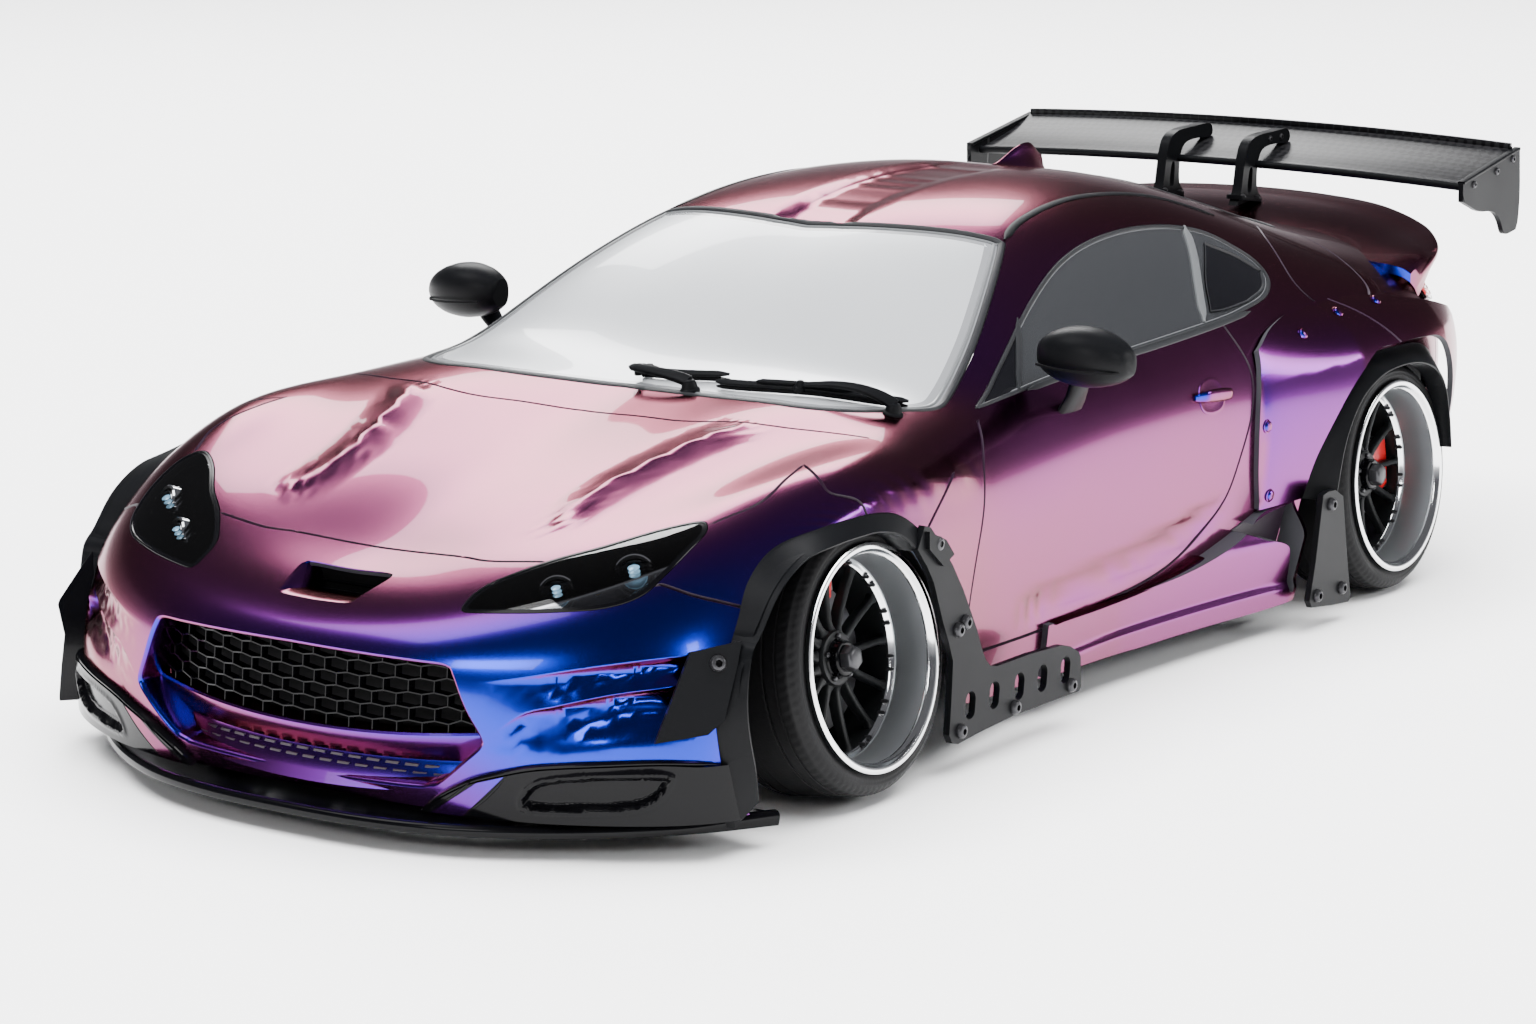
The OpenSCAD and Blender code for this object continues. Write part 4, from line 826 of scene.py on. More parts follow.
tunnel_mesh = Mesh()
tunnel(tunnel_mesh, HALF["mouth"], (0, 1, 0), [(0, 0.0), (0.5, 0.25), (1.0, 1.2), (1.5, 4), (2.2, 9)])
tunnel(tunnel_mesh, HALF["scoop"], (0, 1, -0.15), [(0, 0.0), (0.5, 0.3), (0.9, 1.2), (1.3, 4), (1.6, 9)])
body.mirror().build("shell", [MAT["paint"], MAT["back"], MAT["line"]], nodes=["body_shell"],
    slot="shift_paint")
tunnel_mesh.mirror().build("shell_returns", [MAT["paint"]], sharp=60)

# ---------------------------------------------------------------- solids
def solid(loops, mesh=None, mat=0):
    """A closed body through loops of equal length, with both ends capped."""
    v, f = strip(loops)
    n, k = len(loops[0]), len(loops)
    mesh = mesh or Mesh()
    return mesh.add(v, f + [tuple(range(n))[::-1], tuple(range((k - 1) * n, k * n))], mat)


def sweep(points, section, up=(0, 0, 1), step=1.5, mesh=None, mat=0, smooth_line=True, taper=None):
    """A closed body with a flat section, (sideways, up), along a line."""
    p = flow(points, step=step) if smooth_line else np.array(points, float)
    t = unit(np.gradient(p, axis=0))
    side = unit(np.cross(t, np.array(up, float)))
    top = np.cross(side, t)
    k = np.ones(len(p)) if taper is None else np.interp(np.linspace(0, 1, len(p)), *taper)
    return solid([p[i] + sum_of(side[i], top[i], section, k[i]) for i in range(len(p))], mesh, mat)


def sum_of(a, b, section, k=1.0):
    s = np.array(section, float) * k
    return s[:, :1] * a + s[:, 1:] * b


def ring(r, n=10, squash=1.0):
    a = np.arange(n) * 2 * np.pi / n
    return np.stack([r * np.cos(a), r * squash * np.sin(a)], 1)


def rounded(w, h, r=0.3, n=3):
    """A rectangle with round corners, about its middle."""
    out = []
    for cx, cy, a0 in ((w / 2 - r, h / 2 - r, 0), (r - w / 2, h / 2 - r, 90), (r - w / 2, r - h / 2, 180),
        (w / 2 - r, r - h / 2, 270)):
        for k in range(n + 1):
            a = rad(a0 + 90 * k / n)
            out.append((cx + r * math.cos(a), cy + r * math.sin(a)))
    return out


def plate(poly, thick, frame3, mesh=None, mat=0, holes=()):
    """A flat plate: poly in the plane of frame3 = (origin, a, b, out), with holes through it."""
    o, a, b, c = (np.array(q, float) for q in frame3)
    mesh = mesh or Mesh()
    rims = [np.array(poly, float)] + [np.array(h, float) for h in holes]
    pts, edges, spans = [], [], []
    for r in rims:
        base = len(pts)
        pts += [Vector(q) for q in r]
        edges += [(base + k, base + (k + 1) % len(r)) for k in range(len(r))]
        spans.append((base, len(r)))
    vo, _, fo, ov, _, _ = delaunay_2d_cdt(pts, edges, [], 0, 1e-5)
    v = np.array([tuple(q) for q in vo])
    tri = np.array([f for f in fo if len(f) == 3])
    mid = v[tri].mean(1)
    keep = inside(mid, rims[0])
    for h in rims[1:]:
        keep &= ~inside(mid, h)
    tri = tri[keep]

    def at(q, h):
        return o + q[:, :1] * a + q[:, 1:] * b + c * h

    mesh.add(at(v, thick), tri, mat)
    mesh.add(at(v, 0.0), tri[:, ::-1], mat)
    for r in rims:
        vv, ff = strip([at(r, 0.0), at(r, thick)])
        mesh.add(vv, ff, mat)
    return mesh


def oval(cx, cy, w, h, n=18, turn=0.0):
    r = w / 2
    out = []
    for k in range(n):
        a = 2 * math.pi * k / n
        x, y = r * math.cos(a), r * math.sin(a) + (h / 2 - r) * (1 if math.sin(a) >= 0 else -1)
        out.append((cx + x * math.cos(turn) - y * math.sin(turn),
            cy + x * math.sin(turn) + y * math.cos(turn)))
    return out


def lathe(profile, n, pose, mesh=None, mat=0, closed=True, wave=None):
    """Turns (along, radius) points about a wheel's axis; profile may carry a material per span."""
    mesh = mesh or Mesh()
    a = np.arange(n) * 2 * np.pi / n
    loops = []
    for z, r in profile:
        rr, zz = np.full(n, float(r)), np.full(n, float(z))
        if wave is not None:
            rr, zz = rr + wave(a, z, r), zz
        loops.append(pose(np.stack([rr * np.cos(a), rr * np.sin(a), zz], 1)))
    if closed:
        loops.append(loops[0])
    for k in range(len(loops) - 1):
        v, f = strip(loops[k : k + 2])
        mesh.add(v, f, mat[k] if hasattr(mat, "__len__") else mat)
    return mesh


def screw(mesh, at, out, r=1.75, h=1.2, mat=0, socket=1):
    """A button screw with a hexagon socket, standing on at and facing out."""
    out = unit(np.array(out, float))
    a = unit(np.cross(out, (0.0, 0.3, 1.0)))
    b = np.cross(out, a)
    at = np.array(at, float)

    def loop(rad_, hh, n=20, six=False):
        ang = np.arange(n) * 2 * np.pi / n
        rr = rad_ * (math.cos(math.pi / 6) / np.cos((ang + math.pi / 6) % (math.pi / 3) - math.pi / 6)
            if six else np.ones(n))
        return at + (rr * np.cos(ang))[:, None] * a + (rr * np.sin(ang))[:, None] * b + out * hh

    dome = [loop(r, -0.4), loop(r, 0.25 * h), loop(r * 0.95, 0.55 * h), loop(r * 0.82, 0.85 * h),
        loop(r * 0.6, h), loop(r * 0.48, h, six=True)]
    v, f = strip(dome)
    mesh.add(v, f, mat)
    v, f = strip([dome[-1], loop(r * 0.46, 0.3 * h, six=True)])
    mesh.add(v, f + [tuple(range(20, 40))], socket)


# ---------------------------------------------------------------- wheels
HUBS = {"f": (82.13, FRONT, 31.895, 8.0), "r": (83.03, REAR, 31.524, 4.0)}
SPOKES = 13


def axle(end, right):
    hx, hy, hz, c = HUBS[end]
    s, k = math.sin(rad(c)), math.cos(rad(c))
    flip = np.array([-1 if right else 1, 1, 1])

    def pose(q):
        q = np.atleast_2d(q)
        x = q[:, 0:1] * (s, 0, -k) + q[:, 1:2] * (0, 1, 0) + q[:, 2:3] * (k, 0, s)
        return (x + (hx, hy, hz)) * flip

    return pose


def spoke_section(r):
    """Half width, top and bottom of a spoke at a radius: it dishes to the hub and spreads at both ends."""
    half = 0.78 + 0.75 * smooth((8.2 - r) / 3) + 0.75 * smooth((r - 20.2) / 2.6)
    top = 1.7 - 1.5 * math.sin(math.pi * min(max((r - 5) / 18, 0), 1)) * 0.45 + 0.9 * smooth((8 - r) / 3)
    return half, top, top - 2.7 + 0.7 * smooth((r - 12) / 10)


def wheel(end, right):
    tag = end + ("r" if right else "l")
    pose = axle(end, right)
    rim = Mesh()
    rim_line = [(12.95, 25.95), (13.1, 25.6), (13.15, 25.0), (13.0, 24.5), (12.5, 24.15), (11.9, 23.95),
        (11.6, 23.55), (11.2, 23.45),
                (6, 23.25), (2.9, 23.15), (2.7, 22.95), (2.2, 22.5), (1.9, 22.3), (1.7, 21.95), (1.2, 21.8),
                (0.2, 21.9), (-7, 22.4),
                (-11, 23.4), (-12.8, 24.4), (-13, 25.2), (-12.8, 25.95), (-11.9, 25.9), (-11.4, 24.75),
                (-4, 23.9), (8, 24.1), (11.4, 24.75),
                (11.9, 25.9)]
    mats = [1] * 6 + [1] + [2] * 3 + [1] * 3 + [0] * 14
    lathe(rim_line, 120, pose, rim, mats)
    for k in range(SPOKES):
        a = 2 * math.pi * (k + 0.25) / SPOKES
        c, s = math.cos(a), math.sin(a)
        loops = []
        for r in np.concatenate([np.linspace(5.2, 9, 6), np.linspace(10.5, 19, 6), np.linspace(20, 22.5, 5)]):
            w, top, low = spoke_section(float(r))
            sec = [(-w, low), (-w, top - 0.5), (-w * 0.72, top - 0.12), (-w * 0.4, top), (w * 0.4, top),
                (w * 0.72, top - 0.12), (w, top - 0.5), (w, low)]
            loops.append(pose([(r * c - y * s, r * s + y * c, z) for y, z in sec]))
        solid(loops, rim, 0)
        for da in (-0.36, 0.36):
            b = a + da * 2 * math.pi / SPOKES
            q = np.array([22.15 * math.cos(b), 22.15 * math.sin(b)])
            ringp = ring(0.5, 8)
            solid([pose(np.column_stack([q + ringp, np.full(8, 1.2)])),
                pose(np.column_stack([q + ringp, np.full(8, 2.7)])),
                   pose(np.column_stack([q + ringp * 0.6, np.full(8, 3.0)]))], rim, 4)
    hub = [(-4.4, 2.1), (-4.4, 6.2), (0.4, 6.5), (2.2, 6.4), (2.9, 6.1), (3.1, 5.6), (3.0, 4.6), (3.3, 4.3),
        (5.0, 4.1), (5.3, 3.8),
           (5.35, 3.4), (5.2, 2.1)]
    lathe(hub, 48, pose, rim, [0, 0, 0, 0, 0, 0, 3, 3, 3, 3, 3, 3])
    lathe([(4.9, 2.05), (4.9, 3.1), (7.3, 3.05), (7.8, 2.6), (8.0, 1.9), (8.0, 0.01)], 6, pose, rim, 4,
        closed=False)
    for k in range(5):
        a = 2 * math.pi * k / 5 + 0.6
        q = np.array([5.15 * math.cos(a), 5.15 * math.sin(a)])
        rp = ring(0.62, 10)
        solid([pose(np.column_stack([q + rp, np.full(10, 2.6)])),
            pose(np.column_stack([q + rp, np.full(10, 3.7)])),
               pose(np.column_stack([q + rp * 0.6, np.full(10, 4.0)]))], rim, 4)
    holes = 20
    disc = [(-4.4, 6.0), (-4.4, 16.8), (-4.2, 17.0), (-3.6, 17.0), (-3.4, 16.8), (-3.4, 16.2), (-3.45, 8.2),
        (-3.2, 8.0), (-3.2, 6.0)]
    lathe(disc, 90, pose, rim, 5)
    # dark spots on the disc face where its drilled holes are: painted shade in place of holes
    for k in range(holes):
        a, r = 2 * math.pi * k / holes, 12.4 + 2.2 * (k % 2)
        q = np.array([r * math.cos(a), r * math.sin(a)])
        rp = ring(0.55, 8)
        rim.add(pose(np.column_stack([q + rp, np.full(8, -3.36)])), [tuple(range(8))], 0)
    rim.build("wheel_" + tag, [MAT["wheel"], MAT["lip"], MAT["barrel"], MAT["gloss"], MAT["screw"],
        MAT["disc"]], "wheel_" + tag,
              ["rim_" + tag], "wheel_black", sharp=38)

    def relief(a, z, r):
        if r < 28:
            return 0.06 * (np.cos(a * 120) > 0) * (26.9 < r) if abs(z) > 11 else 0
        blocks = (np.mod(a * 44 / math.pi + abs(z) * 0.22, 1.0) < 0.17) * (7.6 < abs(z) < 11.7)
        return -0.26 * blocks - 0.3 * (3.6 < abs(z) < 4.3) - 0.3 * (7.0 < abs(z) < 7.55)

    half = [(10.9, 24.95), (11.5, 25.3), (11.75, 25.9), (11.9, 26.5), (12.05, 27.0), (12.08, 27.3),
        (12.0, 27.6), (11.98, 28.0), (12.05, 28.2),
            (11.9, 28.5), (11.75, 28.9), (11.6, 29.2), (11.3, 29.55), (10.9, 29.9), (10.5, 30.2),
            (10.2, 30.45), (10, 30.62), (9.4, 30.8),
            (8.6, 30.97), (7.6, 31), (7.5, 31), (7.05, 31), (6.95, 31), (4.4, 31), (4.3, 31), (3.65, 31),
            (3.55, 31), (1.5, 31)]
    line = half + [(-z, r) for z, r in reversed(half)] + [(-9.4, 24.95), (-8.6, 28.2), (8.6, 28.2),
        (9.4, 24.95)]
    tyre = lathe(line, 352, pose, None, 0, wave=relief)
    tyre.build("tyre_" + tag, [MAT["tyre"]], "wheel_" + tag, ["tyre_" + tag], "tyre_rubber", sharp=50)
    turn = math.pi if end == "f" else math.pi / 2
    c, s = math.cos(turn), math.sin(turn)
    cal = Mesh()
    for z0, z1 in ((-8.2, -4.9), (-2.9, -1.2)):
        loops = []
        for z in (z0, z0 + 0.4, z1 - 0.4, z1):
            g = 0.4 if z in (z0, z1) else 0.0
            loops.append(pose([(x * c - y * s, x * s + y * c, z) for x, y in
                               [(12.6 + g, -6.2 + g), (17.4, -7.4 + g), (20.4 - g, -6.4 + g), (20.9 - g, 0),
                               (20.4 - g, 6.4 - g), (17.4, 7.4 - g), (12.6 + g, 6.2 - g)]]))
        solid(loops, cal)
    solid([pose([(x * c - y * s, x * s + y * c, z) for x,
        y in [(17.6, -6.6), (20.3, -5.8), (20.7, 0), (20.3, 5.8), (17.6, 6.6)]]) for z in (-5.0, -2.8)], cal)
    cal.build("caliper_" + tag, [MAT["red"]],
        ("knuckle_" + ("r" if right else "l")) if end == "f" else "carrier_" + tag, slot="machined_alloy",
        bevel=0.25)


for _end in "fr":
    for _right in (False, True):
        wheel(_end, _right)

# ---------------------------------------------------------------- glass
def pane(line, closed, mats, frit, zones=(), lift=-0.35, thick=0.8, mesh=None, inside_mat=None):
    """Glass inside an outline of the skin: zones are (outline, material), frit is the dark rim's width."""
    edge = inset(line, 0.25, closed)
    inner = inset(edge, frit, closed)
    lines = [(edge, closed), (inner, closed)] + [(z, True) for z, _ in zones]
    lo, hi = edge.min(0) - 0.2, edge.max(0) + 0.2
    uv, tri, _ = lay(lines, (lo[0], hi[0], lo[1], min(hi[1], NV)), 0.13, 0.13)
    mid = uv[tri].mean(1)
    tri = tri[inside(mid, edge if closed else to_centre(edge))]
    mid = uv[tri].mean(1)
    m = np.where(inside(mid, inner if closed else to_centre(inner)), mats[0], mats[1])
    for z, k in zones:
        m[inside(mid, z)] = k
    return skin_mesh(uv, tri, thick, lift=lambda u, v: np.full(np.shape(u), lift), mat=m.tolist(),
        inner=mats[1] if inside_mat is None else inside_mat, mesh=mesh)


def bead(mesh, line, closed, steps, mat=0):
    """A strip along an outline of the skin through (inset, lift) steps."""
    loops = []
    for by, lift in steps:
        l = inset(line, by, closed) if by else line
        p = place(l[:, 0], l[:, 1], lift)
        if not closed:
            p[0, 0] = p[-1, 0] = 0
        loops.append(p)
    v, f = strip(loops, closed)
    mesh.add(v, f, mat)


def rib(mesh, points, width, height, mat=0, step=1.5, base=-0.5, along=None, ends=1.0, curve=True):
    """A low rounded bar along a line of the skin."""
    line = pull(flow(points, step=step) if curve else points, along)
    p, side = sides(line)
    n = outward(line[:, 0], line[:, 1])
    t = np.linspace(0, 1, len(p))
    k = np.clip(np.minimum(t, 1 - t) * len(p) / 2.5, 0.25, 1) if ends else np.ones(len(p))
    sec = [(-0.5, base), (-0.5, 0.45 * height), (-0.36, 0.85 * height), (-0.15, height), (0.15, height),
        (0.36, 0.85 * height), (0.5, 0.45 * height), (0.5, base)]
    solid([np.array([p[i] + side[i] * s * width * k[i] + n[i] * h for s, h in sec]) for i in range(len(p))],
        mesh, mat)


SEAL = [(0.15, -1.3), (0.2, -0.1), (0.45, 0.22), (0.95, 0.34), (1.5, 0.22), (1.9, -0.05), (2.1, -0.45)]
SLIM = [(0.1, -1.3), (0.15, -0.1), (0.35, 0.12), (0.8, 0.18), (1.15, 0.02), (1.3, -0.45)]
g = pane(HALF["screen"], False, (0, 1), 5.0)
bead(g, HALF["screen"], False, SEAL, 2)
bead(g, inset(HALF["screen"], 2.4, False), False, [(0, -0.4), (0.1, -0.15), (0.5, -0.02), (0.9, -0.15),
    (1.0, -0.4)], 3)
g.mirror().build("windscreen", [MAT["screen"], MAT["frit"], MAT["seal"], MAT["trim"]], nodes=["glazing"],
    slot="tinted_glass")
g = pane(HALF["back"], False, (0, 1), 4.5)
bead(g, HALF["back"], False, SLIM, 2)
g.mirror().build("rear_window", [MAT["side"], MAT["frit"], MAT["seal"]], slot="tinted_glass")
FRONT_TRI = outline([(79.4, -58, 78.6), (79.4, -58, 78.6), (76, -50.5, 82.2), (72, -37.4, 88.2),
    (69.2, -26.8, 93.4), (69.2, -26.8, 93.4),
                     (73.4, -33, 88), (78.6, -42.5, 80.6), (78.6, -42.5, 80.6), (79.2, -50, 79.2)], True,
                     step=1.0)
QUARTER = outline([(65.8, 72, 100.8), (69, 84, 96.5), (72.4, 91.7, 91.4), (72.4, 91.7, 91.4),
    (75.6, 86, 87.3), (78, 74.4, 85.8), (78, 74.4, 85.8),
                   (78.1, 62, 85.2), (78.1, 53.8, 85.8), (78.1, 53.8, 85.8), (72.5, 60, 93)], True, step=1.0)
g = pane(FULL["door"], True, (0, 1), 1.2, [(FRONT_TRI, 3), (QUARTER, 3)])
bead(g, FULL["door"], True, SLIM, 2)
rib(g, [(61.9, 68.6, 105.2), (67, 62.5, 99), (73, 55, 91.8), (79.2, 48.6, 84)], 3.0, 0.25, 4)
rib(g, [(68.7, -25.6, 94.4), (73.8, -33.4, 87.6), (79.2, -42.6, 79.9)], 1.6, 0.25, 2)
rib(g, [(80.1, -40, 79.6), (80.5, -10, 81.2), (80.5, 20, 81.6), (80.2, 52, 82.5), (79.5, 72, 83.4)], 1.5,
    0.3, 2)
bead(g, QUARTER, True, [(-0.5, -0.4), (-0.3, 0.05), (0, 0.15), (0.4, 0.05), (0.6, -0.4)], 2)
g.mirror().build("side_windows", [MAT["side"], MAT["frit"], MAT["seal"], MAT["dark"], MAT["trim"]],
    slot="tinted_glass")
g = Mesh()
rib(g, [(51.1, -3.5, 109.3), (48.2, 8.6, 112.3), (46.4, 31, 114.6), (46.9, 49.8, 114.3), (49.4, 71.5, 111.6),
    (53.3, 86.5, 107.3), (55.9, 94.9, 104.2)], 2.2, 0.25)
g.mirror().build("roof_gutters", [MAT["satin"]], slot="satin_black")

# ---------------------------------------------------------------- nose
def nose_y(x, back=0.0):
    return -213.2 + 7.5 * (np.abs(x) / 48) ** 2.2 + back




def lattice():
    mesh = Mesh()
    pitch, rise, low = 3.1, 3.15, 23.4
    rows = 8
    cols = range(-17, 18)

    def knot(k, j):
        x = k * pitch
        hexed = 0.55 + 0.6 * smooth((abs(x) - 34) / 6)
        z = low + j * rise + (hexed if (k + j) % 2 == 0 else -hexed) * 0.5 + 0.0009 * x * x
        return np.array([x, float(nose_y(x)) + 0.25 * ((k + j) % 2), z])

    def ok(p):
        x, z = abs(p[0]), p[2]
        right = np.interp(z, [21, 27.2, 33, 40.2, 42.8], [46, 50.4, 47.5, 44.2, 43])
        return x < right + 0.8 and z < 43.6

    def bar(a, b, wide, deep):
        d = unit(b - a)
        up = unit(np.cross(d, (0, 1, 0)))
        out = []
        for p in (a - d * 0.15, b + d * 0.15):
            out.append(np.array([p + up * s + np.array([0, 1, 0]) * h for s, h in
                                 [(-wide * 0.5, 0.45), (-wide * 0.28, 0), (wide * 0.28, 0),
                                 (wide * 0.5, 0.45), (wide * 0.5, deep), (-wide * 0.5, deep)]]))
        solid(out, mesh, 0)

    for j in range(rows):
        for k in cols:
            a, b = knot(k, j), knot(k + 1, j)
            if ok(a) and ok(b):
                bar(a, b, 0.55, 2.2)
            if (k + j) % 2 == 0:
                c = knot(k, j + 1)
                if ok(a) and ok(c):
                    bar(a, c, 0.5, 2.0)
    return mesh


g = lattice()
# a matte-black sheet behind the mesh: painted shade for the dark inside of the mouth
xs = np.linspace(-51.5, 51.5, 52)
shade_sheet_loops = [np.array([(x, float(nose_y(x, 4.5)), z) for x in xs]) for z in np.linspace(18, 45.5, 12)]
v, f = strip(shade_sheet_loops, False)
g.add(v, f, 1)
g.build("grille_mesh", [MAT["gloss"], MAT["matte"]], nodes=["front_grille"], slot="gloss_black", sharp=25)
# the painted shelf under the mesh
g = Mesh()
shelf = []
for dy, z, k in ((4.6, 24.3, 1.0), (-0.6, 23.9, 1.0), (-1.0, 23.4, 1.0), (-0.9, 22.6, 1.0), (0.6, 20.2, 1.0),
    (1.9, 18.4, 0.99), (2.4, 17.6, 0.985), (2.2, 16.6, 0.98), (-0.4, 13.4, 0.90),
                 (-2.4, 11.4, 0.86)):
    shelf.append(np.array([(x * k, float(nose_y(x, dy)) - 0.6 * smooth((46 - abs(x)) / 20) * (z < 16),
        z + 0.0012 * x * x * (1 if z > 20 else 0.6)) for x in np.linspace(-51, 51, 61)]))
v, f = strip(shelf, False)
g.add(v, f, 0)
# near-black slots on the lip: painted shade for the slot openings
for j in range(2):
    for k in range(-7, 8):
        x = k * 4.9 + (2.4 if j else 0)
        if abs(x) > 36:
            continue
        z0 = 15.5 + 1.5 * j
        pts = [(x - 1.6, z0 - 0.32), (x + 1.6, z0 - 0.32), (x + 1.9, z0 + 0.32), (x - 1.3, z0 + 0.32)]
        loops = []
        for dy, s in ((0.9, 1.0), (-0.12, 1.0), (-0.2, 0.85)):
            loops.append(np.array([(x + (px - x) * s, float(nose_y(px,
                1.55 + 0.95 * j)) - 0.55 * smooth((46 - abs(px)) / 20) + dy, z0 + (pz - z0) * s) for px,
                pz in pts]))
        solid(loops, g, 1)
g.build("mouth_shelf", [MAT["paint"], MAT["line"]], slot="shift_paint", sharp=35)
# a matte-black sheet closing the scoop behind its opening: painted shade for the dark inside of the scoop,
# with gloss slats across it
g = Mesh()
loops = []
for z in np.linspace(45, 53.5, 8):
    loops.append(np.array([(x, -193.5 + 0.02 * abs(x), z) for x in np.linspace(-14.5, 14.5, 14)]))
v, f = strip(loops, False)
g.add(v, f, 0)
for z in np.arange(47.0, 53, 2.0):
    sweep([(x, -194.2, z) for x in np.linspace(-14.4, 14.4, 8)], rounded(0.5, 0.5, 0.15), (0, 0, 1), mesh=g,
        mat=1)
g.build("scoop_shade_sheet", [MAT["matte"], MAT["gloss"]], slot="gloss_black")

# ---------------------------------------------------------------- headlamps
def lamp():
    line = FULL["lamp"]
    g = Mesh()
    # the dark bowl
    loops = []
    rim = place(*line.T)
    mid = rim.mean(0)
    n = outward(line[:, 0], line[:, 1])
    for s, deep in ((1.0, -0.2), (0.985, 0.8), (0.95, 2.6), (0.9, 4.6), (0.7, 5.6), (0.35, 6.0), (0.02, 6.1)):
        loops.append(mid + (rim - mid) * s - unit(n.mean(0)) * deep * (0.6 if s > 0.98 else 1.0) - n
            * (0.4 if s > 0.98 else 0))
    v, f = strip(loops)
    g.add(v, f, 0)
    # bright strips along the lower and outer edge
    for pts, w in (([(41.5, -202.6, 52.0), (47, -201.4, 52.5), (53.4, -199.4, 53.2), (60, -196.6, 53.8),
        (65.2, -193.8, 54.4), (70, -189.4, 56.2), (73, -184.0, 59.4),
                     (74.6, -178, 62.4), (74.4, -171.4, 65.4), (72.6, -167.4, 67)], 1.5),
                   ([(41, -199.5, 54.3), (46.5, -191.6, 57.4), (55, -184.6, 61), (63, -176.6, 64.2),
                   (69.6, -170, 66.8)], 0.9)):
        line2 = pull(flow(pts, step=1.2))
        p, side = sides(line2)
        nn = outward(line2[:, 0], line2[:, 1])
        sec = [(-0.5, -3.2), (-0.5, -1.9), (-0.3, -1.6), (0.2, -1.7), (0.5, -2.2), (0.5, -3.2)]
        solid([np.array([p[i] + side[i] * s * w
            * (0.35 + 0.65 * math.sin(math.pi * (i + 1) / (len(p) + 1)) ** 0.5) + nn[i] * h
                for s, h in sec]) for i in range(len(p))], g, 1)
    for c, r in (((55.0, -193.3, 57.2), 4.0), ((67.8, -182.2, 60.6), 4.3)):
        uvc = pull([c])
        o = surf(uvc[:, 0], uvc[:, 1])[0]
        look = unit(np.array([0.42, -0.84, 0.32]))
        a = unit(np.cross((0, 0, 1.0), look))
        b = np.cross(look, a)
        o = o - outward(uvc[:, 0], uvc[:, 1])[0] * 2.9

        def disc(rr, h, n=40):
            ang = np.arange(n) * 2 * np.pi / n
            return o + (rr * np.cos(ang))[:, None] * a + (rr * np.sin(ang))[:, None] * b + look * h

        steps = [(r * 1.12, -2.5, 1), (r * 1.12, 0.9, 1), (r * 1.04, 1.25, 1), (r * 0.96, 1.0, 2),
            (r * 0.9, 0.2, 2), (r * 0.84, 0.15, 2), (r * 0.8, 0.9, 1), (r * 0.76, 1.05, 1),
                 (r * 0.7, 0.8, 2), (r * 0.66, 0.2, 2), (r * 0.6, 0.3, 3)]
        for k in range(8):
            t = (k + 1) / 8 * math.pi / 2
            steps.append((r * 0.6 * math.cos(t) + 0.001, 0.3 + 1.9 * math.sin(t), 3))
        for k in range(len(steps) - 1):
            v, f = strip([disc(steps[k][0], steps[k][1]), disc(steps[k + 1][0], steps[k + 1][1])])
            g.add(v, f, steps[k + 1][2])
    g.mirror().build("headlamp_inside", [MAT["gloss"], MAT["chrome"], MAT["matte"], MAT["lens"]],
        nodes=["headlights"], slot="gloss_black", sharp=40)
    g = pane(line, True, (0, 1), 1.1, lift=-0.15, thick=0.6, inside_mat=0)
    bead(g, line, True, [(0.05, -1.5), (0.08, -0.2), (0.3, 0.05), (0.7, 0.05), (0.95, -0.3)], 1)
    g.mirror().build("headlamp_covers", [MAT["clear"], MAT["gloss"]], nodes=["headlight_lenses"],
        slot="tinted_glass")


lamp()


# ---------------------------------------------------------------- trims round the shell
def resample(p, n):
    p = np.array(p, float)
    d = np.concatenate([[0], np.cumsum(np.linalg.norm(np.diff(p, axis=0), axis=1))])
    t = np.linspace(0, d[-1], n)
    return np.stack([np.interp(t, d, p[:, k]) for k in range(p.shape[1])], 1)


def on_side(yz, x=93.0):
    """Skin parameters under points of the side view."""
    return pull([(x, y, z) for y, z in yz], "x")


def patch(line, lift, mats, zones=(), holes=(), thick=1.2, mesh=None, fine=0.09):
    """A raised piece of skin inside an outline, with its own lift; zones are (outline, material)."""
    lines = [(line, True)] + [(z, True) for z, _ in zones] + [(h, True) for h in holes]
    lo, hi = line.min(0) - 0.1, line.max(0) + 0.1
    uv, tri, _ = lay(lines, (lo[0], hi[0], lo[1], min(hi[1], NV)), fine, fine)
    mid = uv[tri].mean(1)
    keep = inside(mid, line)
    for h in holes:
        keep &= ~inside(mid, h)
    tri, mid = tri[keep], mid[keep]
    m = np.full(len(tri), mats[0])
    for z, k in zones:
        m[inside(mid, z)] = k
    return skin_mesh(uv, tri, thick, lift=lift, mat=m.tolist(), inner=mats[1], mesh=mesh)


def dome(mesh, at, out, r=1.6, h=0.9, mat=0):
    out = unit(np.array(out, float))
    a = unit(np.cross(out, (0.0, 0.3, 1.0)))
    b = np.cross(out, a)
    ang = np.arange(20) * 2 * np.pi / 20
    loops = [np.array(at, float) + ((r * k) * np.cos(ang))[:, None] * a + ((r * k) * np.sin(ang))[:,
        None] * b + out * (h * q)
             for k, q in ((1.25, -0.5), (1.22, 0.05), (1.0, 0.2), (0.9, 0.6), (0.65, 0.9), (0.3, 1.0),
             (0.05, 1.0))]
    solid(loops, mesh, mat)


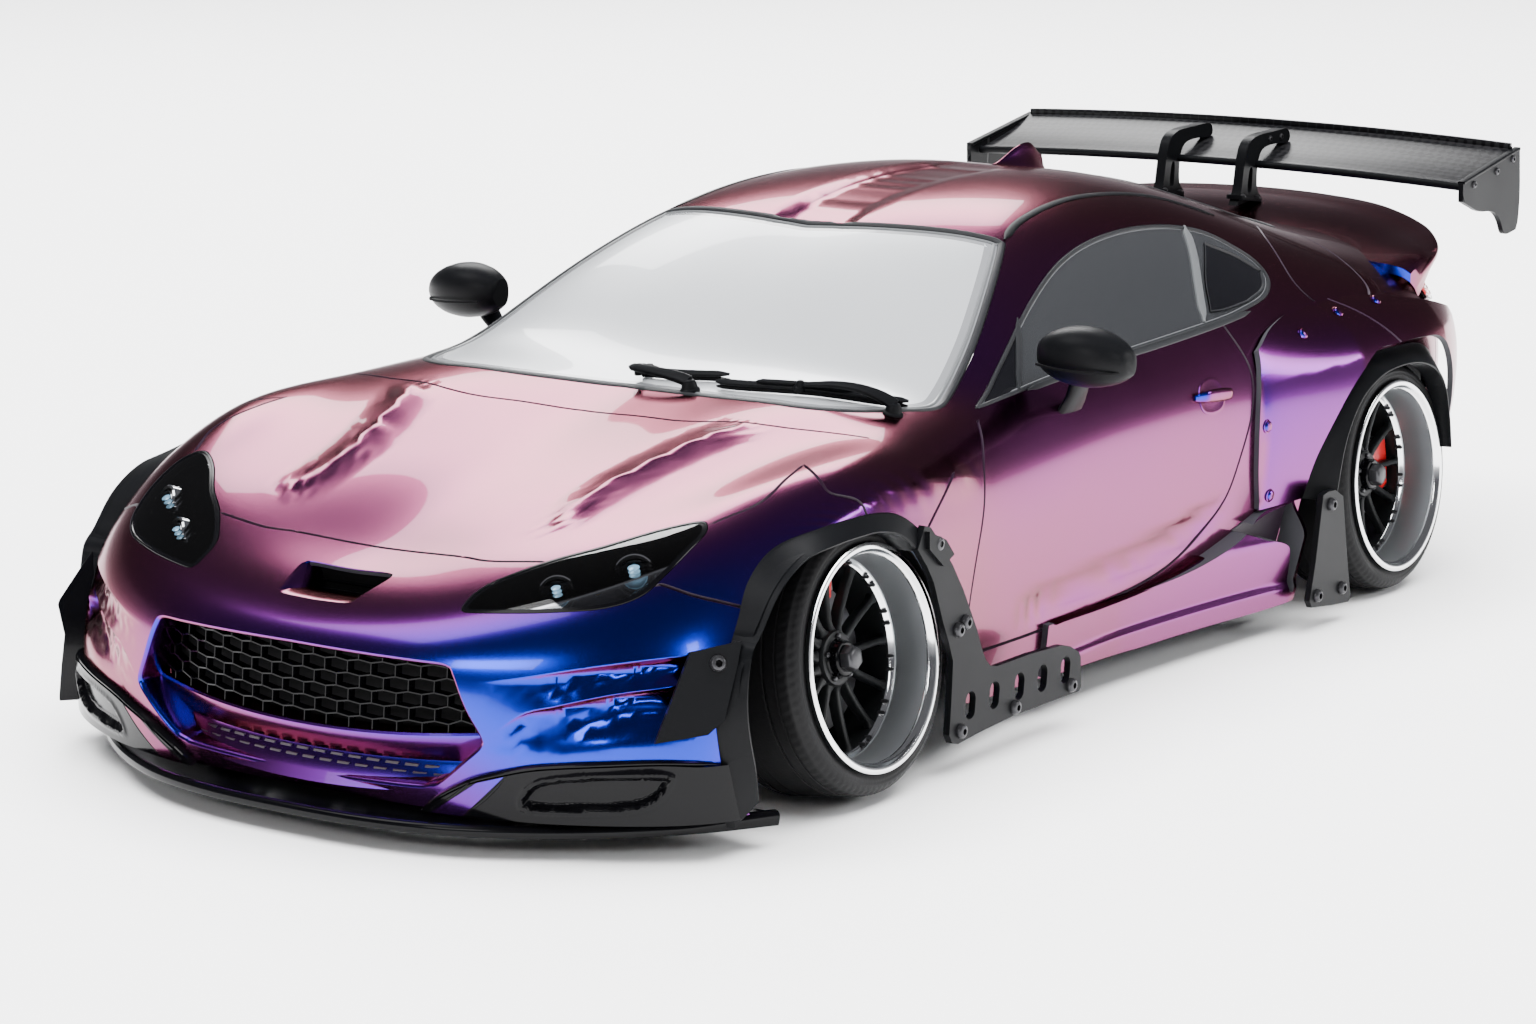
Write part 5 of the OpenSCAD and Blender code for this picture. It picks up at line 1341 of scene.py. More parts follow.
def band(mesh, outer, inner, x_in, depth, mat=0, n=96, off=0.35):
    """A wheel opening's trim, from a line on the skin to its outer corner and in to the wheel."""
    o = resample(flow([(y, z) for y, z in outer], step=1.5), n)
    i = resample(flow([(y, z) for y, z in inner], step=1.5), n)
    uv = on_side(o)
    p = surf(*uv.T)
    loops = []
    for k in range(n):
        a = np.array([p[k, 0] + off, o[k, 0], o[k, 1]])
        b = np.array([x_in if np.isscalar(x_in) else np.interp(k / (n - 1), *x_in), i[k, 0], i[k, 1]])
        toward = unit(b - a)
        plane = unit(np.array([0, i[k, 0] - o[k, 0], i[k, 1] - o[k, 1]]))
        loops.append(np.array([a + (-1.3, 0, 0), a, a + toward * 0.5 + (0.55, 0, 0),
            b - toward * 0.6 + (0.12, 0, 0), b + (-0.35, 0, 0) + plane * 0.1,
                               b + (-depth, 0, 0) + plane * 0.5, b + (-depth, 0, 0) - plane * 0.6,
                               b + (-1.9, 0, 0) - plane * 1.1]))
    solid(loops, mesh, mat)


# front splitter
LIP_OUT = [(0, -223), (22, -222), (42, -217.5), (60, -208.5), (76, -196.5), (88, -184), (97.5, -170)]
LIP_IN = [(0, -204), (20, -203), (38, -200), (52, -194.5), (62, -185), (70, -176), (80, -168)]


def splitter():
    g = Mesh()
    o = flow([(-x, y) for x, y in LIP_OUT[:0:-1]] + LIP_OUT, step=3)
    n = len(o)
    i = resample(flow([(-x, y) for x, y in LIP_IN[:0:-1]] + LIP_IN, step=3), n)
    loops = []
    for k in range(n):
        q, r = o[k], i[k]
        d = unit(r - q)
        rise = 0.9 * smooth((abs(q[0]) - 84) / 12)
        loops.append(np.array([(*(q + d * 1.4), 4.9), (*(q + d * 0.35), 5.15), (*q, 5.9 + rise),
            (*(q + d * 0.05), 6.9 + rise), (*(q + d * 0.5), 7.5 + rise), (*(q + d * 1.4), 7.7 + rise),
                               (*(q + d * 2.4), 7.35 + rise * 0.6), (*r, 7.3), (*r, 4.9)]))
    solid(loops, g, 0)
    g.build("splitter_blade", [MAT["gloss"]], nodes=["front_splitter"], slot="gloss_black", sharp=50)
    top = [(33, -212.5, 9.2), (36, -213, 11), (39.1, -213, 13), (46, -212.4, 16.8), (53, -211, 19),
        (61.3, -208.3, 20.9), (72.7, -203, 21.9), (83.2, -195, 22.3), (89.5, -188.6, 21.6),
           (92.4, -183.6, 21.5)]
    low = [(92.6, -181, 8.6), (86, -191, 8.4), (74, -201, 8.4), (56, -210.5, 8.4), (42, -213.6, 8.4)]
    line = outline([top[0], top[0]] + top[1:-1] + [top[-1], top[-1], low[0], low[0]] + low[1:], True,
        step=1.2)
    strip_zone = outline([(48.2, -212.5, 17.4)] * 2 + [(54.2, -210.8, 19.2)] * 2 + [(43.4, -212.5,
        8.6)] * 2 + [(35.6, -213.2, 8.8)] * 2, True, step=1.2)
    hollow = outline([(57.5, -209, 13.2), (60.4, -208.3, 17.4), (68, -205, 19.2), (79.9, -197.4, 20.0),
        (84.2, -194, 19.6), (84.8, -193.4, 18.4), (82.6, -195.4, 14.8), (78.5, -198.6, 13),
                      (71.4, -203.4, 12.2), (60.6, -208.4, 11.8)], True, step=1.0)
    hp, hs = sides(hollow, True)
    inner_dir = 1.0 if inside(pull(hp + hs * 0.8), hollow).mean() > 0.5 else -1.0

    def lift(u, v):
        q = surf(u, v)
        d = np.full(np.shape(u), -9.0)
        for k in range(0, len(q), 3000):
            gap = q[k : k + 3000, None] - hp[None]
            j = (gap**2).sum(2).argmin(1)
            near = gap[np.arange(len(j)), j]
            s = (near * hs[j]).sum(1) * inner_dir
            dist = np.sqrt((near**2).sum(1))
            d[k : k + 3000] = np.where(s > 0, dist, -dist)
        return 1.9 + 0.35 * np.exp(-(((d + 0.6) / 0.7) ** 2)) - 1.6 * smooth((d + 0.2) / 1.5)

    g = patch(line, lift, (0, 0), [(strip_zone, 1)], thick=2.0, fine=0.05)
    for pts in ([(46.6, -213.2, 17.2), (42, -213.8, 13.2), (35.2, -214, 8.8)],
        [(55, -210.8, 19.4), (50, -212, 13.8), (44, -213, 8.8)]):
        rib(g, pts, 1.5, 2.0, 0)
    rib(g, [(33.5, -213, 9.4), (39.1, -213.2, 13.4), (46, -212.4, 17.2), (53, -211, 19.4),
        (61.3, -208.3, 21.3), (72.7, -203, 22.3), (83.2, -195, 22.7), (91.4, -186, 21.9)], 0.9, 1.6, 0)
    g.mirror().build("splitter_sides", [MAT["gloss"], MAT["paint"]], slot="gloss_black")


splitter()


def canards():
    poly = [(85.6, -186.8, 45.6), (91.8, -177.2, 46.9), (92.3, -179.4, 41.9), (92.3, -184.2, 31),
        (90.4, -187.6, 28.2), (82.4, -196.0, 26.9)]
    p = np.array(poly, float)
    mid = p.mean(0)
    n = np.linalg.svd(p - mid)[2][2]
    n = n * np.sign(n[0])
    a = unit(np.array([0, 0, 1.0]) - n * n[2])
    b = np.cross(n, a)
    flat = np.stack([(p - mid) @ b, (p - mid) @ a], 1)
    g = Mesh()
    plate(flow(np.repeat(flat, 2, axis=0), True, 1.0), 1.8, (mid + n * 0.9, b, a, n), g, 0)
    solid([np.array([surf(*q[None].T)[0] for q in pull(p * 0.93 + mid * 0.07)]),
        p * 0.93 + mid * 0.07 + n * 1.0], g, 0)
    at = np.array([89.0, -182.2, 42.6])
    screw(g, at + n * ((mid - at) @ n + 2.7), n, 1.8, 1.3, 1, 2)
    g.build("canard_left", [MAT["satin"], MAT["screw"], MAT["matte"]], nodes=["canards"], slot="satin_black",
        sharp=30, bevel=0.3)
    # the other side carries a larger folded plate
    g = Mesh()
    rows = []
    for z, out, y0, y1 in ((46.5, 3.0, -177, -170.5), (40, 5.6, -183.5, -170.5), (33.5, 9.4, -187, -171),
        (32.5, 9.6, -187.5, -171), (26, 6.6, -189, -172), (19, 7.4, -190, -173), (11.5, 8.6, -190, -172),
        (10.2, 8.6, -190, -172)):
        uv = pull([(93, y0, z), (94, y1, z)])
        s = surf(*uv.T)
        n2 = outward(*uv.T)
        a, b = s[0] + n2[0] * out * 0.75, s[1] + n2[1] * out * 0.35
        c, d = s[1] - n2[1] * 0.3, s[0] - n2[0] * 0.3
        rows.append(np.array([a, a * 0.5 + b * 0.5 + n2[0] * 0.7, b, c, c * 0.5 + d * 0.5, d]) * (-1, 1, 1))
    solid(rows, g, 0)
    g.build("canard_right", [MAT["gloss"]], slot="gloss_black", sharp=22, bevel=0.25)


canards()

# wheel openings
FRONT_OUT = [(-183, 7), (-185, 31), (-180.5, 43), (-175, 51), (-169, 58), (-160, 63.5), (-148, 66.2),
    (-137, 67), (-126, 66.5), (-117, 63.9), (-105.5, 56)]
FRONT_IN = [(-175.8, 12), (-181, 31), (-180, 44), (-175.5, 49.6), (-168.7, 57), (-159, 61.9), (-147.5, 63),
    (-137, 63.2), (-129.6, 62.8), (-121.5, 60.6), (-114, 55.6)]
LEG = [(-112.5, 61.4), (-110, 60.6), (-105.5, 56), (-100.5, 50), (-96, 43.5), (-90, 33), (-87.6, 27.4),
    (-86, 25), (-84, 23.2), (-81, 22.5), (-66, 22.4), (-51.6, 21.6), (-48, 20.6),
       (-43.8, 18.3), (-43, 17), (-42.7, 9.6), (-43.6, 8.7), (-60, 8.9), (-74, 9), (-90, 8.2), (-98, 7.5),
       (-100.5, 8.2), (-101.8, 10.4), (-101, 18), (-100.3, 27.6), (-102.2, 32.4), (-104.7, 37.7),
       (-108.6, 47.5),
       (-111.6, 52), (-115.4, 56.4)]
g = Mesh()
band(g, FRONT_OUT, FRONT_IN, ([0, 0.08, 0.3, 1], [96.4, 97.3, 97.5, 97.3]), 6.5)
holes = [oval(y, z, 4.3, 6.6, turn=-0.1) for y, z in ((-92.7, 15.6), (-82.2, 15.8), (-71.1, 15.6),
    (-60.7, 15.4), (-50.1, 15.2))]
plate(LEG, 1.7, ((96.0, 0, 0), (0, 1, 0), (0, 0, 1), (1, 0, 0)), g, 0, holes=holes)
for y, z in ((-107.3, 56.4), (-98.4, 34.6), (-95.2, 35.8), (-97, 10.4), (-73.3, 11), (-47.7, 11)):
    screw(g, (97.7, y, z), (1, 0, 0), 1.75, 1.25, 1, 2)
plate([(-112, 60), (-105, 57), (-101.5, 53), (-106, 51), (-112, 56)], 1.1,
    ((97.6, 0, 0), (0, 1, 0), (0, 0, 1), (1, 0, 0)), g, 0)
g.mirror().build("front_arch_trims", [MAT["satin"], MAT["screw"], MAT["matte"]], nodes=["front_arches"],
    slot="satin_black", bevel=0.22)

REAR_OUT = [(77.5, 34.5), (82.5, 47), (93.2, 59.3), (107.2, 66.6), (118.9, 67.4), (134, 67.2), (147, 65.6),
    (153.8, 60), (158.6, 50), (161, 38)]
REAR_IN = [(86, 33), (90.9, 48.3), (99, 57.8), (110.3, 62.6), (122, 63.8), (134, 62.8), (143.4, 59.6),
    (149.7, 54.2), (153.5, 45), (155.6, 36)]
g = Mesh()
band(g, REAR_OUT, REAR_IN, ([0, 0.2, 0.6, 1], [99.2, 99.6, 99.4, 98.6]), 6.0, off=2.0)
plate([(77, 36.2), (80, 36.8), (84, 36.5), (88.5, 34), (91, 20), (94, 6), (93, 4.6), (84, 5.4), (72, 7),
    (70.6, 9), (73.5, 19)], 1.7, ((98.0, 0, 0), (0, 1, 0), (0, 0, 1), (1, 0, 0)), g, 0)
for y, z in ((81.5, 33.0), (88.4, 9.3), (74.6, 9.8)):
    screw(g, (99.7, y, z), (1, 0, 0), 1.75, 1.25, 1, 2)
g.mirror().build("rear_arch_trims", [MAT["satin"], MAT["screw"], MAT["matte"]],
    nodes=["rear_arches", "body_screws"], slot="satin_black", bevel=0.22)

# wide rear quarters
QUARTER_YZ = [(61, 34), (61, 34), (58.4, 47), (58.6, 60), (63.5, 74.5), (63.5, 74.5), (74, 78.6), (90, 81),
    (112, 80.6), (130, 78.4), (148, 74.5), (172, 70), (172, 70), (176, 56),
              (176, 38), (176, 38), (163, 37), (163, 37), (160.4, 50), (155, 60), (147, 65.8), (134, 67.4),
              (118.9, 67.6), (107.2, 66.8), (93.2, 59.5), (82.5, 47.2), (77.8, 35), (77.8, 35)]
QUARTER_LINE = on_side(flow(QUARTER_YZ, True, 1.2))


def swell(u, v):
    q = surf(u, v)
    y, z = q[..., 1], q[..., 2]
    run = np.clip((y - 61) / 40, 0, 1) ** 0.8
    crest = 66.5 + 0.02 * (y - 100)
    above = np.clip((z - crest) / np.maximum(80.5 - crest, 1), 0, 1)
    low = np.clip((crest - z) / 30, 0, 1)
    face = 1 - 0.82 * above**1.25 - 0.25 * low * (1 - 0.4 * run)
    return 1.5 + (6.6 * run) * face * (1 - 0.45 * np.clip((y - 150) / 30, 0, 1))


# a near-black band along the seam over the quarter, with no groove under it: painted shade of a shut line
cut = pull(flow([(80, 104.5, 83), (85.5, 112, 77.4), (89, 117.5, 72), (92.8, 122, 68)], step=1.0))
cp, cs = sides(cut)
seam_shade_zone = np.concatenate([pull(cp + cs * 0.4), pull(cp - cs * 0.4)[::-1]])
g = patch(QUARTER_LINE, swell, (0, 2), [(seam_shade_zone, 1)], thick=1.6, fine=0.1)
for c in ((86.8, 84.1, 75.6), (85.7, 104.9, 77.6), (85.1, 126.2, 76.9), (89.2, 61.6, 56), (87.8, 64.5, 37.6)):
    uv = pull([c])
    n = outward(*uv.T)[0]
    dome(g, surf(*uv.T)[0] + n * float(swell(*uv.T)[0]), n, 1.5, 0.8, 0)
g.mirror().build("rear_quarters", [MAT["paint"], MAT["line"], MAT["back"]], nodes=["rear_overfenders"],
    slot="shift_paint")

# side skirts
SILL_YZ = [(-43, 10.5), (-43, 10.5), (-43, 23.6), (-43, 23.6), (-20, 23), (20, 24.2), (46, 28.6), (62, 33.2),
    (78, 34.4), (78, 34.4), (75, 20), (72, 7), (72, 7), (36.4, 7.6), (0.5, 9.1), (-33.6, 10.4)]
SILL_LINE = on_side(flow(SILL_YZ, True, 1.2), 90)
DUCT = on_side(flow([(50, 30.2), (50, 30.2), (62, 32.6), (76.6, 33.6), (76.6, 33.6), (73.4, 19), (72, 12.2),
    (72, 12.2), (69.6, 13.6), (69, 22.4), (66.6, 25.4), (58, 27.6), (58, 27.6)], True, 1.0), 90)


def flare(u, v):
    q = surf(u, v)
    y, z = q[..., 1], q[..., 2]
    base = 1.6 + 6.4 * np.clip((y + 8) / 78, 0,
        1) ** 1.4 * smooth((35 - z) / 9) + 1.0 * smooth((15.5 - z) / 2.2)
    return base


g = patch(SILL_LINE, flare, (0, 2), holes=[DUCT], thick=7.5, fine=0.08)
# the intake is filled with a near-black sheet set below the skirt face: painted shade inside the intake
patch(DUCT, lambda u, v: np.full(np.shape(u), 0.35), (1, 2), thick=0.6, mesh=g)
rib(g, [(90.5, -40, 23.0), (88.6, -20, 22.6), (87.6, 0, 22.8), (87.4, 20, 23.8), (88.4, 36, 26)], 1.1, 2.3, 0)
g.mirror().build("side_skirt_panels", [MAT["paint"], MAT["line"], MAT["back"]], nodes=["side_skirts"],
    slot="shift_paint")


# ---------------------------------------------------------------- tail, wing and small outside pieces
def foil(x, y, z, chord, thick, rise, n=11):
    """An upswept wing section at one place across the car."""
    top, low = [], []
    for k in range(n):
        t = (1 - math.cos(math.pi * k / (n - 1))) / 2
        mid = rise * (0.35 * t + 0.65 * t * t)
        h = thick * 2.6 * (math.sqrt(t) * 0.55 * (1 - t) + 0.06 * (1 - t) + 0.05)
        top.append((x, y + chord * t, z + mid + h * 0.55))
        low.append((x, y + chord * t, z + mid - h * 0.45))
    return np.array(top + low[::-1])


def tail():
    g = Mesh()
    rows = [(-80.5, 163.5, 80.6, 170.5, 80.9), (-78.5, 162, 82.2, 182, 83.8), (-75, 160.5, 83.2, 192, 85.6),
        (-68, 160, 84, 203, 87.2), (-60, 161, 84.9, 212, 88.6),
            (-48, 166, 87.2, 219, 90.8), (-36, 169.5, 89, 223, 92.2), (-18, 172.5, 90.4, 225, 93.2),
            (0, 173.5, 90.8, 225.5, 93.5)]
    rows += [(-x, *r) for x, *r in rows[-2::-1]]
    rows = flow(rows, step=4)
    loops = []
    for x, y0, z0, y1, z1 in rows:
        d = y1 - y0
        loops.append(np.array([(x, y0, z0 - 1.2), (x, y0, z0 + 1.2),
            (x, y0 + 0.3 * d, z0 + 0.12 * (z1 - z0) + 2.0), (x, y0 + 0.62 * d, z0 + 0.5 * (z1 - z0) + 2.0),
            (x, y0 + 0.86 * d, z1 - 0.6),
                               (x, y1 - 1.4, z1 + 0.15), (x, y1 - 0.3, z1 - 0.05), (x, y1, z1 - 0.7),
                               (x, y1 - 0.5, z1 - 1.6), (x, y1 - 3.4, z1 - 3.6),
                               (x, y0 + 0.72 * d, z1 - 6.2), (x, y0 + 0.4 * d, z0 - 3.2)]))
    solid(loops, g, 0)
    g.build("ducktail_lip", [MAT["paint"]], nodes=["ducktail"], slot="shift_paint", sharp=45)
    g = Mesh()
    rows = [(x, y0, z0, y1, z1) for x, y0, z0, y1, z1 in rows if abs(x) < 74]
    for k, (deep, mat) in enumerate(((0.0, 0),)):
        loops = []
        for x, y0, z0, y1, z1 in rows:
            d = y1 - y0
            loops.append(np.array([(x, y0 + 0.36 * d, z0 - 3.6), (x, y0 + 0.72 * d, z1 - 6.7),
                (x, y1 - 5.4, z1 - 5.2), (x, y1 - 5.4, z1 - 3.9), (x, y0 + 0.72 * d, z1 - 5.4),
                (x, y0 + 0.36 * d, z0 - 2)]))
        solid(loops, g, mat)
    g.build("ducktail_underside", [MAT["satin"]], slot="satin_black", sharp=45, bevel=0.2)
    # tail lamps
    g = Mesh()
    line = pull(flow([(78.5, 171, 81), (78.5, 171, 81), (76, 182, 80.5), (66, 195, 79.5), (52, 201, 78.6),
        (46, 203, 77.5), (46, 203, 77.5), (47, 204, 72.4), (55, 203, 70.8), (68, 195, 71.2),
                          (77, 184, 71.8), (80.5, 173, 73.6), (80.5, 173, 73.6)], True, 1.0))
    g = patch(line, lambda u, v: np.full(np.shape(u), 0.9), (0, 1), thick=1.6, fine=0.08)
    for s in (1.1, 2.6):
        l = inset(line, s, True)
        bead(g, l, True, [(0, 0.8), (0.15, 1.15), (0.5, 1.2), (0.7, 0.8)], 2)
    bead(g, line, True, [(-0.6, -0.6), (-0.55, 0.5), (-0.3, 1.0), (0.1, 1.0), (0.25, 0.7)], 1)
    g.mirror().build("tail_lamps", [MAT["lamp_red"], MAT["gloss"], MAT["red"]], nodes=["tail_lights"],
        slot="smoked_red")


tail()


def wing():
    g = Mesh()
    loops = []
    for x in np.linspace(-80.6, 80.6, 45):
        t = x / 80.6
        loops.append(foil(x, 196.2 + 0.6 * t * t, 102.4 + 2.2 * (1 - t * t), 30, 1.7, 8.2))
    solid(loops, g, 0)
    lead = [(x, 195.9 + 0.6 * (x / 80.6) ** 2,
        102.2 + 2.2 * (1 - (x / 80.6) ** 2)) for x in np.linspace(-80.4, 80.4, 41)]
    sweep(lead, ring(1.15, 12), (0, 0, 1), mesh=g, mat=1, smooth_line=False)
    sweep([(x, y + 3.4, z - 0.7) for x, y, z in lead], rounded(0.7, 0.7, 0.2), (0, 0, 1), mesh=g, mat=1,
        smooth_line=False)
    sweep([(x, y + 29.4, z + 8.6) for x, y, z in lead], rounded(1.3, 1.9, 0.35), (0, 0, 1), mesh=g, mat=0,
        smooth_line=False)
    g.build("wing_blade_skin", [MAT["carbon"], MAT["satin"]], nodes=["wing_blade"], slot="gloss_black",
        sharp=40)
    g = Mesh()
    poly = flow([(191.5, 98.8), (191.5, 98.8), (191.4, 103.9), (191.4, 103.9), (228.2, 110), (228.2, 110),
        (229, 98), (228.4, 90), (227, 86.8), (227, 86.8), (221, 86.2), (218.6, 87.2), (216.5, 90.4),
                 (213, 93.2), (208.5, 94.2), (204, 94.6), (200.5, 95.4), (200.5, 95.4)], True, 0.8)
    plate(poly, 1.5, ((80.8, 0, 0), (0, 1, 0), (0, 0, 1), (1, 0, 0)), g)
    for y, z in ((198.4, 103), (213, 105.2), (223.4, 107.6)):
        screw(g, (82.2, y, z), (1, 0, 0), 1.1, 0.7, 1, 1)
    sweep([(81.5, 191.8, 104.1), (81.5, 228, 110.1)], rounded(2.2, 0.9, 0.3), (0, 0, 1), step=6, mesh=g)
    g.mirror().build("wing_end_plate_pair", [MAT["satin"], MAT["screw"]], nodes=["wing_end_plates"],
        slot="gloss_black", bevel=0.18)
    g = Mesh()
    poly = flow([(184.5, 93.4), (184.5, 93.4), (186.6, 97.6), (187.6, 102), (188.8, 107), (190.6, 110.4),
        (194, 112.2), (199, 112.8), (206, 112.9), (213, 113), (215.6, 111.6), (215.6, 109.6),
                 (213.2, 108.8), (205, 109.2), (199.4, 108.4), (196.8, 105.6), (196, 101), (196.4, 96.8),
                 (198.6, 94.6), (198.6, 94.6)], True, 0.8)
    slot_hole = flow([(190.4, 97.2), (191.4, 103), (193.2, 103.2), (192.6, 97)], True, 0.5)
    plate(poly, 3.0, ((11.4, 0, 0), (0, 1, 0), (0, 0, 1), (1, 0, 0)), g, holes=[slot_hole])
    plate(rounded(13, 5.5, 1.2), 1.2, ((12.9, 191.2, 94.2), (0, 1, -0.16), (1, 0, 0), (0, 0, 1)), g)
    for dy in (-4.4, 4.4):
        for dx in (-1.9, 1.9):
            dome(g, (12.9 + dx, 191.2 + dy, 95.3 - 0.16 * dy), (0, 0, 1), 0.75, 0.6, 1)
    for y in (203.6, 210.4):
        screw(g, (14.2, y, 110.9), (1, 0, 0), 1.0, 0.7, 1, 1)
    g.mirror().build("wing_stay_pair", [MAT["satin"], MAT["screw"]], nodes=["wing_stays"],
        slot="satin_black", bevel=0.35)


wing()


def mirrors():
    g = Mesh()
    loops = []
    for t in np.linspace(0, 1, 22):
        x = 82.6 + 23.2 * t
        k = math.sin(math.pi * min(max(0.06 + 0.9 * t, 0), 1)) ** 0.42
        back = 1.0 - 0.25 * t
        sec = []
        for a in np.arange(28) * 2 * np.pi / 28:
            c, s = math.cos(a), math.sin(a)
            dy = (8.2 if c < 0 else 5.6 * back) * np.sign(c) * abs(c) ** 0.8
            dz = 7.4 * np.sign(s) * abs(s) ** (0.8 if s > 0 else 0.95)
            sec.append((x, -35.6 + dy * k + 1.6 * t,
                88.6 + dz * k - 1.2 * t * t + (0.0 if s > 0 else 0.6 * t)))
        loops.append(np.array(sec))
    solid(loops, g, 3)
    # the dark seam between cap and base, and the glass facing back
    sweep([(84.6, -43.4, 87.0), (90, -44.6, 86.6), (97, -43.8, 86.2), (103, -40.4, 85.9),
        (105.4, -35.6, 85.9)], rounded(0.5, 0.6, 0.15), (0, 0, 1), mesh=g, mat=2)
    glass = [np.array([(94.4 + 8.4 * q * math.cos(a), -29.9 + d + 0.06 * 8.4 * math.cos(a),
        88.5 + 4.6 * q * math.sin(a)) for a in np.arange(30) * 2 * np.pi / 30]) for q,
        d in ((1.04, -1.2), (1.04, 0.1), (0.97, 0.35), (0.93, -0.1), (0.5, -0.1), (0.02, -0.1))]
    for k in range(5):
        v, f = strip(glass[k : k + 2])
        g.add(v, f, 1 if k > 2 else 0)
    stalk = [(84.2, -27.5, 73.2, 5.6, 2.0), (85.8, -28.2, 75.2, 5.0, 1.9), (87.8, -29.6, 78.0, 4.2, 1.8),
        (89.6, -31.4, 81, 3.8, 1.9), (90.6, -32.6, 84.6, 3.8, 2.2)]
    solid([np.array([(x + a * w, y + b * l, z) for a, b in [(math.cos(q),
        math.sin(q)) for q in np.arange(16) * 2 * np.pi / 16]]) for x, y, z, l, w in stalk], g, 3)
    g.mirror().build("door_mirrors", [MAT["gloss"], MAT["chrome"], MAT["matte"], MAT["satin"]],
        nodes=["mirrors"], slot="gloss_black", sharp=50)


mirrors()


def wiper(g, blade, arm, pivot):
    uv = pull(flow(blade, step=2))
    p, n = surf(*uv.T), outward(*uv.T)
    k = len(p)
    for i0, i1, lift, w, h, mat in ((0, k, 0.45, 0.6, 1.3, 1), (0, k, 1.7, 1.7, 0.8, 0),
        (k // 4, 3 * k // 4, 2.5, 1.2, 1.0, 0)):
        q = (p + n * lift)[i0:i1]
        sweep(q, rounded(w, h, 0.22), (0, -0.6, 0.8), mesh=g, mat=mat, smooth_line=False,
            taper=([0, 0.04, 0.96, 1], [0.4, 1, 1, 0.4]))
    uv = pull(flow(arm, step=2))
    p, n = surf(*uv.T), outward(*uv.T)
    rise = 2.2 + 1.8 * np.sin(np.pi * np.linspace(0, 1, len(p)) ** 0.8)
    sweep(p + n * rise[:, None], rounded(2.0, 1.1, 0.3), (0, -0.6, 0.8), mesh=g, mat=0, smooth_line=False,
        taper=([0, 0.5, 1], [1.5, 1.0, 0.6]))
    uv = pull([pivot])
    n = outward(*uv.T)[0]
    dome(g, surf(*uv.T)[0] + n * 0.2, n, 2.0, 2.6, 0)
    mid = p[-1]
    dome(g, mid + n * 1.8, n, 1.2, 1.8, 0)


g = Mesh()
wiper(g, [(-52, -82, 82.5), (-40, -84.5, 83), (-15, -86.5, 84), (10, -86, 84.6), (24, -84, 85)],
    [(18.5, -92.5, 81.4), (6, -91.5, 82.4), (-8, -88.5, 83.6), (-14, -87.4, 84)], (18.5, -92.5, 81.4))
wiper(g, [(24, -89.4, 83), (34, -89.2, 82.8), (46.5, -87.4, 82.6), (61.8, -82.8, 81.6), (70, -76.8, 80.6)],
    [(70.5, -84, 79.8), (62, -85.6, 80.9), (52, -87.2, 82), (46.5, -87.8, 82.5)], (70.5, -84, 79.8))
g.build("wiper_set", [MAT["satin"], MAT["matte"]], nodes=["wipers"], slot="satin_black")


def fin():
    g = Mesh()
    top = surf(*pull([(0, 86, 117)]).T)[0][2]
    rows = []
    for t in np.linspace(0, 1, 20):
        y = 73.5 + 25 * t
        h = 7.2 * math.sin(math.pi * min(t * 0.62 + 0.02,
            0.5)) ** 1.6 * (1 - 0.35 * smooth((t - 0.75) / 0.25)) + 0.25
        w = 3.4 * math.sin(math.pi * (0.08 + 0.84 * t)) ** 0.6
        z = surf(*pull([(0, y, 117)]).T)[0][2] - 0.3
        rows.append(np.array([(w * a, y, z + h * b) for a,
            b in ((-1, 0), (-0.92, 0.16), (-0.5, 0.4), (-0.26, 0.75), (-0.12, 0.96), (0, 1), (0.12, 0.96),
            (0.26, 0.75), (0.5, 0.4), (0.92, 0.16), (1, 0))]))
    solid(rows, g, 0)
    g.build("roof_fin_skin", [MAT["paint"]], nodes=["roof_fin"], slot="shift_paint", sharp=60)


fin()
# door handles
g = Mesh()
bowl = outline([(88, 33.2, 63.6), (88, 31.6, 67), (88, 33.4, 70.4), (88, 38.4, 71.8), (88, 43.2, 70.6),
    (88, 44.8, 67), (88, 43, 63.4), (88, 38.2, 62.4)], True, "x", 0.8)
bead(g, bowl, True, [(-0.25, -0.3), (-0.1, 0.1), (0.3, 0.16), (0.9, 0.1), (1.6, 0.04), (2.4, 0.02)], 0)
rows = []
for t in np.linspace(0, 1, 18):
    y, z = 29.6 + 17.6 * t, 67.8 - 1.4 * t
    uv = on_side([(y, z)])
    p, n = surf(*uv.T)[0], outward(*uv.T)[0]
    k = math.sin(math.pi * (0.04 + 0.92 * t)) ** 0.35
    lift = 0.3 + 1.9 * smooth(t / 0.18) * smooth((1 - t) / 0.18)
    rows.append(np.array([p + n * (lift + 0.75 * k * math.sin(a)) + np.array([0, 0,
        1.75 * k * math.cos(a)]) for a in np.arange(14) * 2 * np.pi / 14]))
solid(rows, g, 0)
g.mirror().build("door_handle_pair", [MAT["paint"]], nodes=["door_handles"], slot="shift_paint", sharp=60)

